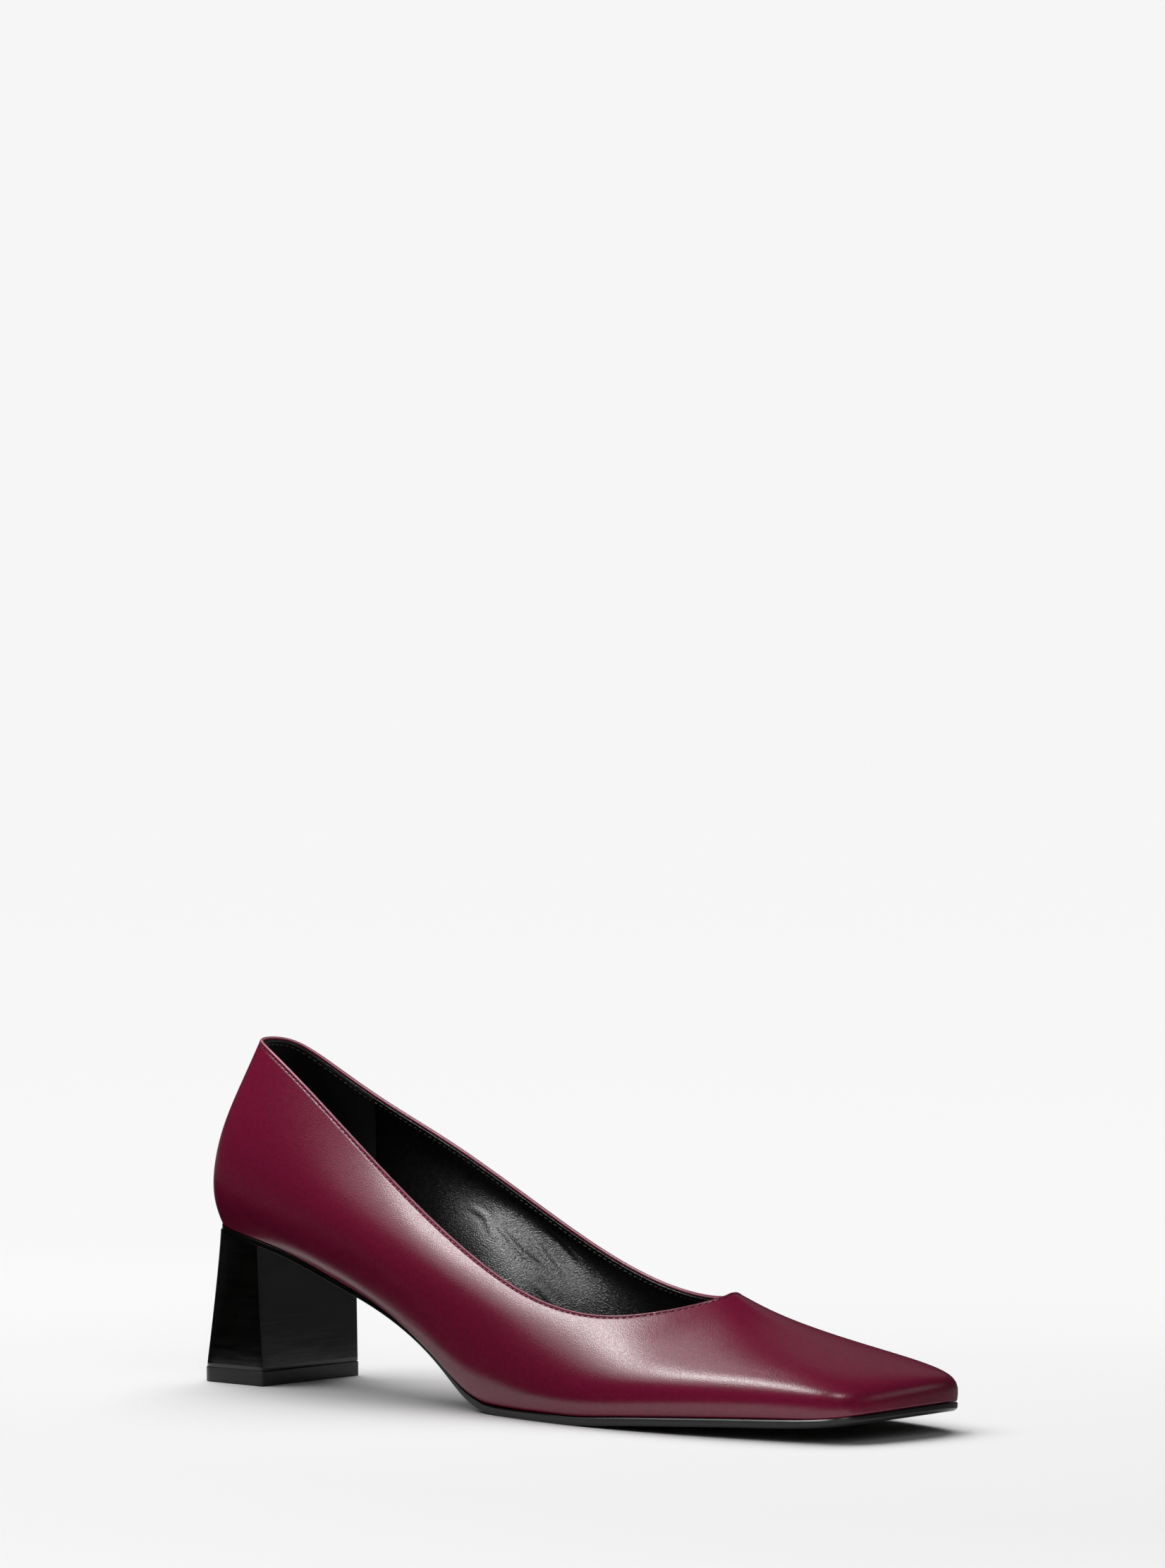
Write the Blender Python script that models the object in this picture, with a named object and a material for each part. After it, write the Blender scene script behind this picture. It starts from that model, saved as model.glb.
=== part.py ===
"""Square-toe court shoe with a block heel, right foot, as five solids.

Frame: +X points to the toe, +Y to the inner side of the foot and +Z up. The origin lies on the floor under the
middle of the shoe. The tables give the sample size in millimetres, and the driving sizes grade it.
"""
import math
from typing import NamedTuple

import bpy
import numpy as np

# Driving dimensions, in millimetres
SHOE_LENGTH = 262.0
BALL_WIDTH = 78.0
HEEL_HEIGHT = 47.0
TOE_SPRING = 6.5
QUARTER_HEIGHT = 57.0
UPPER_WALL = 1.8
INSOLE_THICKNESS = 2.0
TREAD_THICKNESS = 2.2
WAIST_THICKNESS = 1.4
TREAD_EDGE = 1.0
WAIST_EDGE = 0.3
TOE_EDGE = 0.2
LIFT_THICKNESS = 4.5
LIFT_EDGE = 0.3
SEAT_GAP = 0.3

# Sizes of the sample that the tables below describe, in millimetres
SAMPLE_LENGTH = 262.0
SAMPLE_BALL_WIDTH = 78.0
SAMPLE_HEEL_HEIGHT = 47.0
SAMPLE_TOE_SPRING = 6.5
SAMPLE_QUARTER_HEIGHT = 57.0

# How finely the curved surfaces are divided
POINTS_PER_RIB = 4
SKIN_ROWS = 13
PLATE_POINTS_PER_RIB = 4
HEEL_RINGS = 8
HEEL_CORNER_STEPS = 7
SOLE_LINE_SAMPLES = 400

# The outsole grows thicker and wider between these places, from the waist to the tread
TREAD_START = -25.0
TREAD_FULL = 8.0
SOLE_ROUND = 0.5

# Its edge grows narrower again between these places, towards the toe
TOE_EDGE_START = 100.0
TOE_EDGE_FULL = 126.0

MILLIMETRE = 0.001
SHARP_ANGLE = math.radians(40)


class SolePoint(NamedTuple):
    """Control point of the sole's underside, seen from the side."""

    place: str
    x: float
    height: float


class Rib(NamedTuple):
    """Section of the upper from the edge of the sole to the topline.

    The foot and the top are places in plan, and rise is the height of the topline over the sole. The four swells
    stand off the straight line from foot to top, in the direction that face (0 back, 90 side, 180 toe) and tilt
    (0 level, 90 up) give in degrees.
    """

    place: str
    foot_x: float
    foot_y: float
    top_x: float
    top_y: float
    rise: float
    face: float
    tilt: float
    low: float
    flank: float
    crown: float
    high: float


class HeelSection(NamedTuple):
    """Plan of the heel block: a rectangle whose two back corners are rounded."""

    place: str
    back_x: float
    breast_x: float
    outer_y: float
    inner_y: float
    corner: float


SOLE_LINE = (
    SolePoint("behind the seat", -137.0, 48.0),
    SolePoint("seat back", -122.0, 46.7),
    SolePoint("seat middle", -105.0, 44.2),
    SolePoint("seat front", -88.0, 40.7),
    SolePoint("shank top", -70.0, 33.8),
    SolePoint("shank", -52.0, 27.8),
    SolePoint("shank middle", -36.0, 20.6),
    SolePoint("shank foot", -23.0, 12.8),
    SolePoint("tread back", -13.0, 4.8),
    SolePoint("tread start", -4.0, 0.6),
    SolePoint("tread", 6.0, 0.0),
    SolePoint("tread middle", 18.0, 0.0),
    SolePoint("tread front", 30.0, 0.0),
    SolePoint("spring start", 40.0, 0.0),
    SolePoint("spring", 54.0, 1.2),
    SolePoint("spring middle", 70.0, 2.1),
    SolePoint("vamp", 88.0, 3.0),
    SolePoint("toe box", 106.0, 3.7),
    SolePoint("toe corner", 118.0, 4.2),
    SolePoint("toe", 128.0, 5.6),
    SolePoint("beyond the toe", 140.0, 9.0),
)

# Where the four swells stand along a rib, as shares of the way from foot to top
SWELL_SHARES = (0.05, 0.2, 0.5, 0.8)

BACK_RIB = Rib("back", -129.0, 0.0, -117.0, 0.0, 57.0, 0, 0, 2.0, 6.5, 6.5, 2.0)
TOE_RIB = Rib("toe", 130.0, 0.0, 64.8, 0.0, 28.6, 180, 50, 6.5, 6.0, 2.0, -1.0)

OUTER_RIBS = (
    Rib("back corner", -126.0, 14.0, -114.5, 9.5, 57.0, 30, 0, 2.0, 6.5, 7.5, 3.0),
    Rib("counter", -115.5, 22.8, -104.0, 14.8, 55.5, 60, 0, 2.0, 6.5, 8.0, 3.5),
    Rib("heel side", -94.0, 25.0, -87.2, 16.4, 48.9, 85, 0, 1.7, 5.9, 6.3, 3.1),
    Rib("quarter", -66.0, 24.0, -63.3, 17.0, 40.4, 90, 0, 3.8, 7.2, 10.0, 4.2),
    Rib("waist", -38.0, 25.3, -35.3, 20.2, 33.6, 90, 0, 5.0, 6.4, 9.6, 7.1),
    Rib("joint", -9.0, 30.0, -7.7, 25.0, 37.5, 90, 0, 3.5, 7.1, 7.3, 6.5),
    Rib("ball back", 19.0, 36.0, 15.0, 27.2, 31.1, 95, 20, 2.7, 5.5, 6.2, 3.4),
    Rib("ball", 45.0, 38.0, 36.0, 25.5, 27.2, 105, 35, 2.6, 5.6, 4.3, 1.9),
    Rib("tread", 72.0, 36.0, 50.0, 18.5, 27.2, 115, 45, 4.5, 7.5, 4.0, 1.0),
    Rib("vamp side", 95.0, 31.5, 58.5, 11.5, 28.2, 125, 50, 5.5, 7.5, 4.0, 0.5),
    Rib("toe side", 113.5, 27.8, 62.5, 6.5, 29.0, 135, 50, 5.5, 7.0, 3.0, 0.0),
    Rib("toe corner", 125.0, 23.8, 64.0, 3.5, 28.6, 160, 50, 5.5, 6.0, 2.0, -1.0),
    Rib("toe front", 128.0, 12.0, 64.6, 1.5, 28.5, 175, 50, 6.0, 6.0, 2.0, -1.0),
)
INNER_RIBS = (
    Rib("back corner", -126.0, 14.0, -114.5, 9.5, 56.0, 30, 0, 2.0, 6.5, 7.5, 3.0),
    Rib("counter", -115.5, 22.0, -104.0, 14.8, 49.5, 60, 0, 2.0, 6.5, 8.0, 3.5),
    Rib("heel side", -94.0, 23.5, -86.0, 18.3, 42.5, 85, 0, 1.5, 5.0, 5.5, 3.0),
    Rib("quarter", -66.0, 11.5, -60.0, 21.0, 40.2, 90, 0, 0.6, 1.2, 2.5, 6.0),
    Rib("waist", -38.0, 1.0, -32.0, 24.0, 35.7, 90, 0, 0.4, 0.8, 2.0, 7.5),
    Rib("joint", -9.0, 7.0, -6.0, 27.0, 38.7, 90, 0, 0.4, 1.2, 2.2, 6.0),
    Rib("ball back", 19.0, 27.5, 16.0, 28.3, 32.8, 95, 20, 1.5, 3.5, 3.5, 2.5),
    Rib("ball", 45.0, 38.0, 36.0, 25.5, 29.8, 105, 35, 3.0, 6.0, 4.0, 1.5),
    Rib("tread", 72.0, 37.5, 50.0, 18.5, 29.6, 115, 45, 4.5, 7.5, 4.0, 1.0),
    Rib("vamp side", 95.0, 33.5, 58.5, 11.5, 29.8, 125, 50, 5.5, 8.0, 4.0, 0.5),
    Rib("toe side", 115.5, 29.5, 62.5, 6.5, 30.0, 135, 50, 6.5, 7.5, 3.0, 0.0),
    Rib("toe corner", 129.5, 26.5, 64.0, 3.5, 28.6, 160, 50, 7.0, 6.5, 2.0, -1.0),
    Rib("toe front", 131.0, 13.0, 64.6, 1.5, 28.3, 175, 50, 7.0, 6.0, 2.0, -1.0),
)

HEEL_SEAT = HeelSection("seat", -127.5, -101.5, 22.8, 21.4, 18.0)
HEEL_FLOOR = HeelSection("floor", -126.5, -100.0, 22.5, 20.4, 5.0)
HEEL_FLARE = 1.2
SEAT_FADE = 2

GRADE_X = SHOE_LENGTH / SAMPLE_LENGTH
GRADE_Y = BALL_WIDTH / SAMPLE_BALL_WIDTH
GRADE_SHANK = HEEL_HEIGHT / SAMPLE_HEEL_HEIGHT
GRADE_SPRING = TOE_SPRING / SAMPLE_TOE_SPRING
GRADE_RISE = QUARTER_HEIGHT / SAMPLE_QUARTER_HEIGHT


def spline_weights(count, places, closed):
    """Weights of `count` control points of a uniform cubic B-spline at each of the places (0 to count)."""
    weights = np.zeros((len(places), count))
    for row, place in enumerate(places):
        span = int(place) if closed else min(int(place), count - 2)
        t = place - span
        basis = ((1 - t) ** 3, 3 * t**3 - 6 * t**2 + 4, -3 * t**3 + 3 * t**2 + 3 * t + 1, t**3)
        for step, value in enumerate(basis):
            index = span + step - 1
            share = value / 6
            if closed:
                weights[row, index % count] += share
            elif index < 0:
                weights[row, 0] += 2 * share
                weights[row, 1] -= share
            elif index >= count:
                weights[row, -1] += 2 * share
                weights[row, -2] -= share
            else:
                weights[row, index] += share
    return weights


def sole_line():
    """Dense places and heights of the sole's underside, graded."""
    raw = np.array([(point.x, point.height) for point in SOLE_LINE])
    places = np.linspace(0, len(raw) - 1, SOLE_LINE_SAMPLES)
    line = spline_weights(len(raw), places, closed=False) @ raw
    grade = np.where(line[:, 0] < 0, GRADE_SHANK, GRADE_SPRING)
    return line[:, 0] * GRADE_X, line[:, 1] * grade


LINE_X, LINE_Z = sole_line()


def ease(x, start, full):
    """Smooth step from 0 at start to 1 at full."""
    share = np.clip((x - start) / (full - start), 0.0, 1.0)
    return share * share * (3 - 2 * share)


def between_waist_and_tread(x, at_waist, at_tread):
    """A size of the sole that changes from the waist to the tread."""
    return at_waist + (at_tread - at_waist) * ease(x, TREAD_START * GRADE_X, TREAD_FULL * GRADE_X)


def sole_bottom(x):
    """Height of the outsole's underside."""
    return np.interp(x, LINE_X, LINE_Z)


def sole_top(x):
    """Height of the outsole's upper face."""
    return sole_bottom(x) + between_waist_and_tread(x, WAIST_THICKNESS, TREAD_THICKNESS)


def rib_points(rib, side):
    """Six control points of a rib; side is -1 for the outer side of the foot and 1 for the inner."""
    foot_x = rib.foot_x * GRADE_X
    base = float(sole_top(foot_x)) + SEAT_GAP
    foot = np.array([foot_x, side * rib.foot_y * GRADE_Y, base])
    top = np.array([rib.top_x * GRADE_X, side * rib.top_y * GRADE_Y, base + rib.rise * GRADE_RISE])
    face = math.radians(rib.face)
    tilt = math.radians(rib.tilt)
    out = np.array([-math.cos(face) * math.cos(tilt), side * math.sin(face) * math.cos(tilt), math.sin(tilt)])
    swells = (rib.low, rib.flank, rib.crown, rib.high)
    middle = [foot + (top - foot) * share + out * swell for share, swell in zip(SWELL_SHARES, swells)]
    return np.array([foot, *middle, top])


def control_net():
    """Control points of the whole upper: ribs round the shoe from the back along the outer side."""
    outer = [rib_points(rib, -1) for rib in OUTER_RIBS]
    inner = [rib_points(rib, 1) for rib in reversed(INNER_RIBS)]
    return np.array([rib_points(BACK_RIB, 1), *outer, rib_points(TOE_RIB, 1), *inner])


def loop_places(rib_count, points_per_rib):
    """Even places round the closed loop of ribs."""
    return np.arange(rib_count * points_per_rib) / points_per_rib


def outer_skin():
    """Grid of points on the outside of the upper: round the loop, then from sole to topline.

    The lower edge is set on the sole, and the move fades out towards the topline.
    """
    net = control_net()
    round_loop = spline_weights(len(net), loop_places(len(net), POINTS_PER_RIB), closed=True)
    up_rib = spline_weights(net.shape[1], np.linspace(0, net.shape[1] - 1, SKIN_ROWS), closed=False)
    skin = np.einsum("ln,vk,nkc->lvc", round_loop, up_rib, net)
    feet = skin[:, 0]
    drop = sole_top(feet[:, 0]) + SEAT_GAP - feet[:, 2]
    skin[:, :, 2] += np.outer(drop, np.linspace(1, 0, SKIN_ROWS) ** SEAT_FADE)
    return skin


def skin_normals(skin):
    """Unit normals of a skin grid, pointing out of the shoe."""
    along = np.roll(skin, -1, axis=0) - np.roll(skin, 1, axis=0)
    up = np.gradient(skin, axis=1)
    normals = np.cross(along, up)
    normals[:, 0, 2] = 0.0
    return normals / np.linalg.norm(normals, axis=2, keepdims=True)


def sole_outline(offset):
    """Edge of the upper at the sole, in plan, moved out by an offset that may vary along x."""
    feet = control_net()[:, 0, :2]
    loop = spline_weights(len(feet), loop_places(len(feet), PLATE_POINTS_PER_RIB), closed=True) @ feet
    along = np.roll(loop, -1, axis=0) - np.roll(loop, 1, axis=0)
    out = np.column_stack([along[:, 1], -along[:, 0]])
    out /= np.linalg.norm(out, axis=1, keepdims=True)
    return loop + out * np.reshape(offset(loop[:, 0]), (-1, 1))


def heel_outline(section, grow=0.0):
    """Closed plan of the heel from the middle of the back, round the outer side to the breast and back."""
    back = section.back_x * GRADE_X - grow
    breast = section.breast_x * GRADE_X + grow
    half = []
    for width, sign in ((section.outer_y, -1), (section.inner_y, 1)):
        edge = width * GRADE_Y + grow
        corner = section.corner
        turns = np.linspace(0, math.pi / 2, HEEL_CORNER_STEPS)
        arc_x = back + corner - corner * np.cos(turns)
        arc_y = edge - corner + corner * np.sin(turns)
        side_x = np.append(arc_x, breast)
        side_y = np.append(arc_y, edge)
        half.append(np.column_stack([side_x, sign * side_y]))
    back_middle = np.array([[back, (half[0][0, 1] + half[1][0, 1]) / 2]])
    breast_middle = np.array([[breast, (half[0][-1, 1] + half[1][-1, 1]) / 2]])
    return np.concatenate([back_middle, half[0], breast_middle, half[1][::-1]])


def at_height(outline, height):
    """Ring of points over a plan outline, at one height or at a height for each point."""
    return np.column_stack([outline, np.broadcast_to(height, len(outline))])


def strip(first, second, count):
    """Quads that join two closed loops of vertex numbers, first below second."""
    faces = []
    for i in range(count):
        after = (i + 1) % count
        faces.append((first + i, first + after, second + after, second + i))
    return faces


def cap(start, count, up):
    """Faces across a closed loop that starts at one end of the shoe and turns at the other."""
    half = count // 2
    faces = [(start, start + 1, start + count - 1)]
    for i in range(1, half - 1):
        faces.append((start + i, start + i + 1, start + count - i - 1, start + count - i))
    faces.append((start + half - 1, start + half, start + half + 1))
    return faces if up else [face[::-1] for face in faces]


def stacked_solid(rings):
    """Solid through closed rings, from the lowest to the highest."""
    count = len(rings[0])
    faces = cap(0, count, up=False)
    for level in range(len(rings) - 1):
        faces += strip(level * count, (level + 1) * count, count)
    faces += cap((len(rings) - 1) * count, count, up=True)
    return np.concatenate(rings), faces


def make_upper():
    """Hollow shell: the outer skin, and an inner skin moved in by the wall, joined at sole and topline."""
    outer = outer_skin()
    inner = outer - skin_normals(outer) * UPPER_WALL
    around, rows = outer.shape[:2]
    outer_rows = [outer[:, row] for row in range(rows)]
    inner_rows = [inner[:, row] for row in reversed(range(rows))]
    faces = []
    levels = outer_rows + inner_rows
    for level in range(len(levels)):
        below = level * around
        above = (level + 1) % len(levels) * around
        faces += strip(below, above, around)
    return np.concatenate(levels), faces


def make_outsole():
    """Thin sole from toe to seat, wider and thicker under the tread, with its lower edge rounded."""

    def edge(x):
        to_toe = ease(x, TOE_EDGE_START * GRADE_X, TOE_EDGE_FULL * GRADE_X)
        return between_waist_and_tread(x, WAIST_EDGE, TREAD_EDGE) + (TOE_EDGE - TREAD_EDGE) * to_toe

    full = sole_outline(edge)
    drawn_in = sole_outline(lambda x: edge(x) - SOLE_ROUND)
    lower = at_height(drawn_in, sole_bottom(drawn_in[:, 0]))
    middle = at_height(full, sole_bottom(full[:, 0]) + SOLE_ROUND)
    upper = at_height(full, sole_top(full[:, 0]))
    return stacked_solid([lower, middle, upper])


def make_insole():
    """Board and sock inside the wall of the upper, on the outsole."""
    outline = sole_outline(lambda x: np.full_like(x, -UPPER_WALL - SEAT_GAP))
    lower = sole_top(outline[:, 0]) + SEAT_GAP
    return stacked_solid([at_height(outline, lower), at_height(outline, lower + INSOLE_THICKNESS)])


def make_heel_block():
    """Block from the lift to the heel seat, squarer at the floor than at the seat."""
    seat = heel_outline(HEEL_SEAT)
    floor = heel_outline(HEEL_FLOOR)
    seat_height = sole_bottom(seat[:, 0]) - SEAT_GAP
    foot_height = LIFT_THICKNESS + SEAT_GAP
    rings = []
    for share in np.linspace(0, 1, HEEL_RINGS):
        plan = seat + (floor - seat) * (1 - share) ** HEEL_FLARE
        rings.append(at_height(plan, foot_height + (seat_height - foot_height) * share))
    return stacked_solid(rings)


def make_top_lift():
    """Flat lift under the heel block, a little proud of it."""
    outline = heel_outline(HEEL_FLOOR, LIFT_EDGE)
    return stacked_solid([at_height(outline, 0.0), at_height(outline, LIFT_THICKNESS)])


class Finish(NamedTuple):
    """Plain colour and surface of a piece."""

    color: tuple
    roughness: float
    metallic: float


BURGUNDY_LEATHER = Finish((0.13, 0.008, 0.03), 0.38, 0.0)
BLACK_LINING = Finish((0.012, 0.012, 0.012), 0.6, 0.0)
BLACK_SOLE = Finish((0.015, 0.015, 0.015), 0.45, 0.0)
BLACK_HEEL = Finish((0.014, 0.013, 0.012), 0.4, 0.0)
BLACK_RUBBER = Finish((0.02, 0.02, 0.02), 0.7, 0.0)

PIECES = (
    ("upper", make_upper, BURGUNDY_LEATHER),
    ("insole", make_insole, BLACK_LINING),
    ("outsole", make_outsole, BLACK_SOLE),
    ("heel_block", make_heel_block, BLACK_HEEL),
    ("top_lift", make_top_lift, BLACK_RUBBER),
)


def clear_scene():
    """Remove every object of the scene."""
    for item in list(bpy.data.objects):
        bpy.data.objects.remove(item, do_unlink=True)


def make_material(name, finish):
    """Principled material with one colour."""
    material = bpy.data.materials.new(name)
    material.use_nodes = True
    shader = material.node_tree.nodes["Principled BSDF"]
    shader.inputs["Base Color"].default_value = (*finish.color, 1.0)
    shader.inputs["Roughness"].default_value = finish.roughness
    shader.inputs["Metallic"].default_value = finish.metallic
    return material


def add_piece(name, points, faces, finish):
    """Named object with a closed mesh and its own material."""
    mesh = bpy.data.meshes.new(name)
    mesh.from_pydata((points * MILLIMETRE).tolist(), [], faces)
    mesh.shade_smooth()
    mesh.set_sharp_from_angle(angle=SHARP_ANGLE)
    mesh.materials.append(make_material(name, finish))
    piece = bpy.data.objects.new(name, mesh)
    bpy.context.scene.collection.objects.link(piece)
    return piece


def main():
    """Build every piece and stand the shoe with the middle of its box over the origin."""
    clear_scene()
    shapes = [(name, *make(), finish) for name, make, finish in PIECES]
    every_point = np.concatenate([points for _, points, _, _ in shapes])
    middle = (every_point.min(axis=0) + every_point.max(axis=0)) / 2
    shift = np.array([-middle[0], -middle[1], 0.0])
    for name, points, faces, finish in shapes:
        add_piece(name, points + shift, faces, finish)


if __name__ == "__main__":
    main()
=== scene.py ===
"""Looks of a square-toe court shoe with a block heel, right foot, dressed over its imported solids.

Lengths are millimetres in the shoe's own frame until a mesh is made: +X points to the toe, +Y to the
inner side of the foot and +Z up.
"""

import logging
import math
from collections.abc import Callable
from dataclasses import dataclass, field
from enum import Enum
from functools import cached_property

import bpy
import numpy as np
from mathutils import Matrix, Quaternion, Vector


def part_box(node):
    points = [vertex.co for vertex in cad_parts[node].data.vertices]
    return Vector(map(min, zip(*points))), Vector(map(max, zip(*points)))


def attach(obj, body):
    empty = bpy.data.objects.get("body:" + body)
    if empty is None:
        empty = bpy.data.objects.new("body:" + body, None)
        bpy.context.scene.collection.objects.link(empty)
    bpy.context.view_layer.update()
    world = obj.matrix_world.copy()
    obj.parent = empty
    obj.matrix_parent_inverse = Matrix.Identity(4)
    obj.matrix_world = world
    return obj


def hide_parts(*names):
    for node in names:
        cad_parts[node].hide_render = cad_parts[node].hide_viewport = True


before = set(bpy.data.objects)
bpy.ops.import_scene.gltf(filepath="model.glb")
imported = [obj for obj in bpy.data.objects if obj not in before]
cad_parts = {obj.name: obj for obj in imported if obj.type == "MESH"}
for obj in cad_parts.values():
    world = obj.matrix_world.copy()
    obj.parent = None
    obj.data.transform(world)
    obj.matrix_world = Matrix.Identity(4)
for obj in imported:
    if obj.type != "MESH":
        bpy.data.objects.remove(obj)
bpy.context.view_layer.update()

LOG = logging.getLogger("court_shoe")
MILLIMETRE = 0.001
BODY = "root"
# Mesh mark of the painted highlight along the topline's folded bead
RIM_GLINT_MARK = "rim"


class Slot(Enum):
    """Material slots of the shoe's record."""

    UPPER = "upper_leather"
    LINING = "lining_leather"
    SOLE = "sole"
    HEEL = "heel"
    LIFT = "lift"


class Side(Enum):
    """Side of the foot, as the sign of its Y."""

    OUTER = -1
    INNER = 1


class Lights(Enum):
    """What a softbox lights, as the link that it has to the floor."""

    SHOE = "EXCLUDE"
    FLOOR = "INCLUDE"


@dataclass(frozen=True)
class SolePoint:
    """Control point of the sole's underside, seen from the side."""

    x: float
    height: float


@dataclass(frozen=True)
class Rib:
    """Section of the upper from the edge of the sole to the topline.

    The foot and the top are places in plan, and rise is the height of the topline over the sole. The four
    swells stand off the straight line from foot to top, in the direction that face (0 back, 90 side, 180 toe)
    and tilt (0 level, 90 up) give in degrees.
    """

    place: str
    foot_x: float
    foot_y: float
    top_x: float
    top_y: float
    rise: float
    face: float
    tilt: float
    swells: tuple[float, float, float, float]


@dataclass(frozen=True)
class HeelSection:
    """Plan of the heel block: a rectangle whose two back corners are rounded."""

    back_x: float
    breast_x: float
    outer_y: float
    inner_y: float
    corner: float


SOLE_LINE = (
    SolePoint(-137.0, 48.0),
    SolePoint(-122.0, 46.7),
    SolePoint(-105.0, 44.2),
    SolePoint(-88.0, 40.7),
    SolePoint(-70.0, 33.8),
    SolePoint(-52.0, 27.8),
    SolePoint(-36.0, 20.6),
    SolePoint(-23.0, 12.8),
    SolePoint(-13.0, 4.8),
    SolePoint(-4.0, 0.6),
    SolePoint(6.0, 0.0),
    SolePoint(18.0, 0.0),
    SolePoint(30.0, 0.0),
    SolePoint(40.0, 0.0),
    SolePoint(54.0, 1.2),
    SolePoint(70.0, 2.1),
    SolePoint(88.0, 3.0),
    SolePoint(106.0, 3.7),
    SolePoint(118.0, 4.2),
    SolePoint(128.0, 5.6),
    SolePoint(140.0, 9.0),
)
BACK_RIB = Rib("back", -129.0, 0.0, -117.0, 0.0, 57.0, 0, 0, (2.0, 6.5, 6.5, 2.0))
TOE_RIB = Rib("toe", 130.0, 0.0, 64.8, 0.0, 28.6, 180, 50, (6.5, 6.0, 2.0, -1.0))
OUTER_RIBS = (
    Rib("back corner", -126.0, 14.0, -114.5, 9.5, 57.0, 30, 0, (2.0, 6.5, 7.5, 3.0)),
    Rib("counter", -115.5, 22.8, -104.0, 14.8, 55.5, 60, 0, (2.0, 6.5, 8.0, 3.5)),
    Rib("heel side", -94.0, 25.0, -87.2, 16.4, 48.9, 85, 0, (1.7, 5.9, 6.3, 3.1)),
    Rib("quarter", -66.0, 24.0, -63.3, 17.0, 40.4, 90, 0, (3.8, 7.2, 10.0, 4.2)),
    Rib("waist", -38.0, 25.3, -35.3, 20.2, 33.6, 90, 0, (5.0, 6.4, 9.6, 7.1)),
    Rib("joint", -9.0, 30.0, -7.7, 25.0, 37.5, 90, 0, (3.5, 7.1, 7.3, 6.5)),
    Rib("ball back", 19.0, 36.0, 15.0, 27.2, 31.1, 95, 20, (2.7, 5.5, 6.2, 3.4)),
    Rib("ball", 45.0, 38.0, 36.0, 25.5, 27.2, 105, 35, (2.6, 5.6, 4.3, 1.9)),
    Rib("tread", 72.0, 36.0, 50.0, 18.5, 27.2, 115, 45, (4.5, 7.5, 4.0, 1.0)),
    Rib("vamp side", 95.0, 31.5, 58.5, 11.5, 28.2, 125, 50, (5.5, 7.5, 4.0, 0.5)),
    Rib("toe side", 113.5, 27.8, 62.5, 6.5, 29.0, 135, 50, (5.5, 7.0, 3.0, 0.0)),
    Rib("toe corner", 125.0, 23.8, 64.0, 3.5, 28.6, 160, 50, (5.5, 6.0, 2.0, -1.0)),
    Rib("toe front", 128.0, 12.0, 64.6, 1.5, 28.5, 175, 50, (6.0, 6.0, 2.0, -1.0)),
)
INNER_RIBS = (
    Rib("back corner", -126.0, 14.0, -114.5, 9.5, 56.0, 30, 0, (2.0, 6.5, 7.5, 3.0)),
    Rib("counter", -115.5, 22.0, -104.0, 14.8, 49.5, 60, 0, (2.0, 6.5, 8.0, 3.5)),
    Rib("heel side", -94.0, 23.5, -86.0, 18.3, 42.5, 85, 0, (1.5, 5.0, 5.5, 3.0)),
    Rib("quarter", -66.0, 11.5, -60.0, 21.0, 40.2, 90, 0, (0.6, 1.2, 2.5, 6.0)),
    Rib("waist", -38.0, 1.0, -32.0, 24.0, 35.7, 90, 0, (0.4, 0.8, 2.0, 7.5)),
    Rib("joint", -9.0, 7.0, -6.0, 27.0, 38.7, 90, 0, (0.4, 1.2, 2.2, 6.0)),
    Rib("ball back", 19.0, 27.5, 16.0, 28.3, 32.8, 95, 20, (1.5, 3.5, 3.5, 2.5)),
    Rib("ball", 45.0, 38.0, 36.0, 25.5, 29.8, 105, 35, (3.0, 6.0, 4.0, 1.5)),
    Rib("tread", 72.0, 37.5, 50.0, 18.5, 29.6, 115, 45, (4.5, 7.5, 4.0, 1.0)),
    Rib("vamp side", 95.0, 33.5, 58.5, 11.5, 29.8, 125, 50, (5.5, 8.0, 4.0, 0.5)),
    Rib("toe side", 115.5, 29.5, 62.5, 6.5, 30.0, 135, 50, (6.5, 7.5, 3.0, 0.0)),
    Rib("toe corner", 129.5, 26.5, 64.0, 3.5, 28.6, 160, 50, (7.0, 6.5, 2.0, -1.0)),
    Rib("toe front", 131.0, 13.0, 64.6, 1.5, 28.3, 175, 50, (7.0, 6.0, 2.0, -1.0)),
)
HEEL_SEAT = HeelSection(-127.5, -101.5, 22.8, 21.4, 18.0)
HEEL_FLOOR = HeelSection(-126.5, -100.0, 22.5, 20.4, 5.0)
LIFT_EDGE = 0.3

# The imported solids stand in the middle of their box, a little off the tables
LIFT_CORNER = np.array([HEEL_FLOOR.back_x - LIFT_EDGE, -HEEL_FLOOR.outer_y - LIFT_EDGE, 0.0])
CENTRING = np.array(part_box("top_lift")[0]) / MILLIMETRE - LIFT_CORNER


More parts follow.
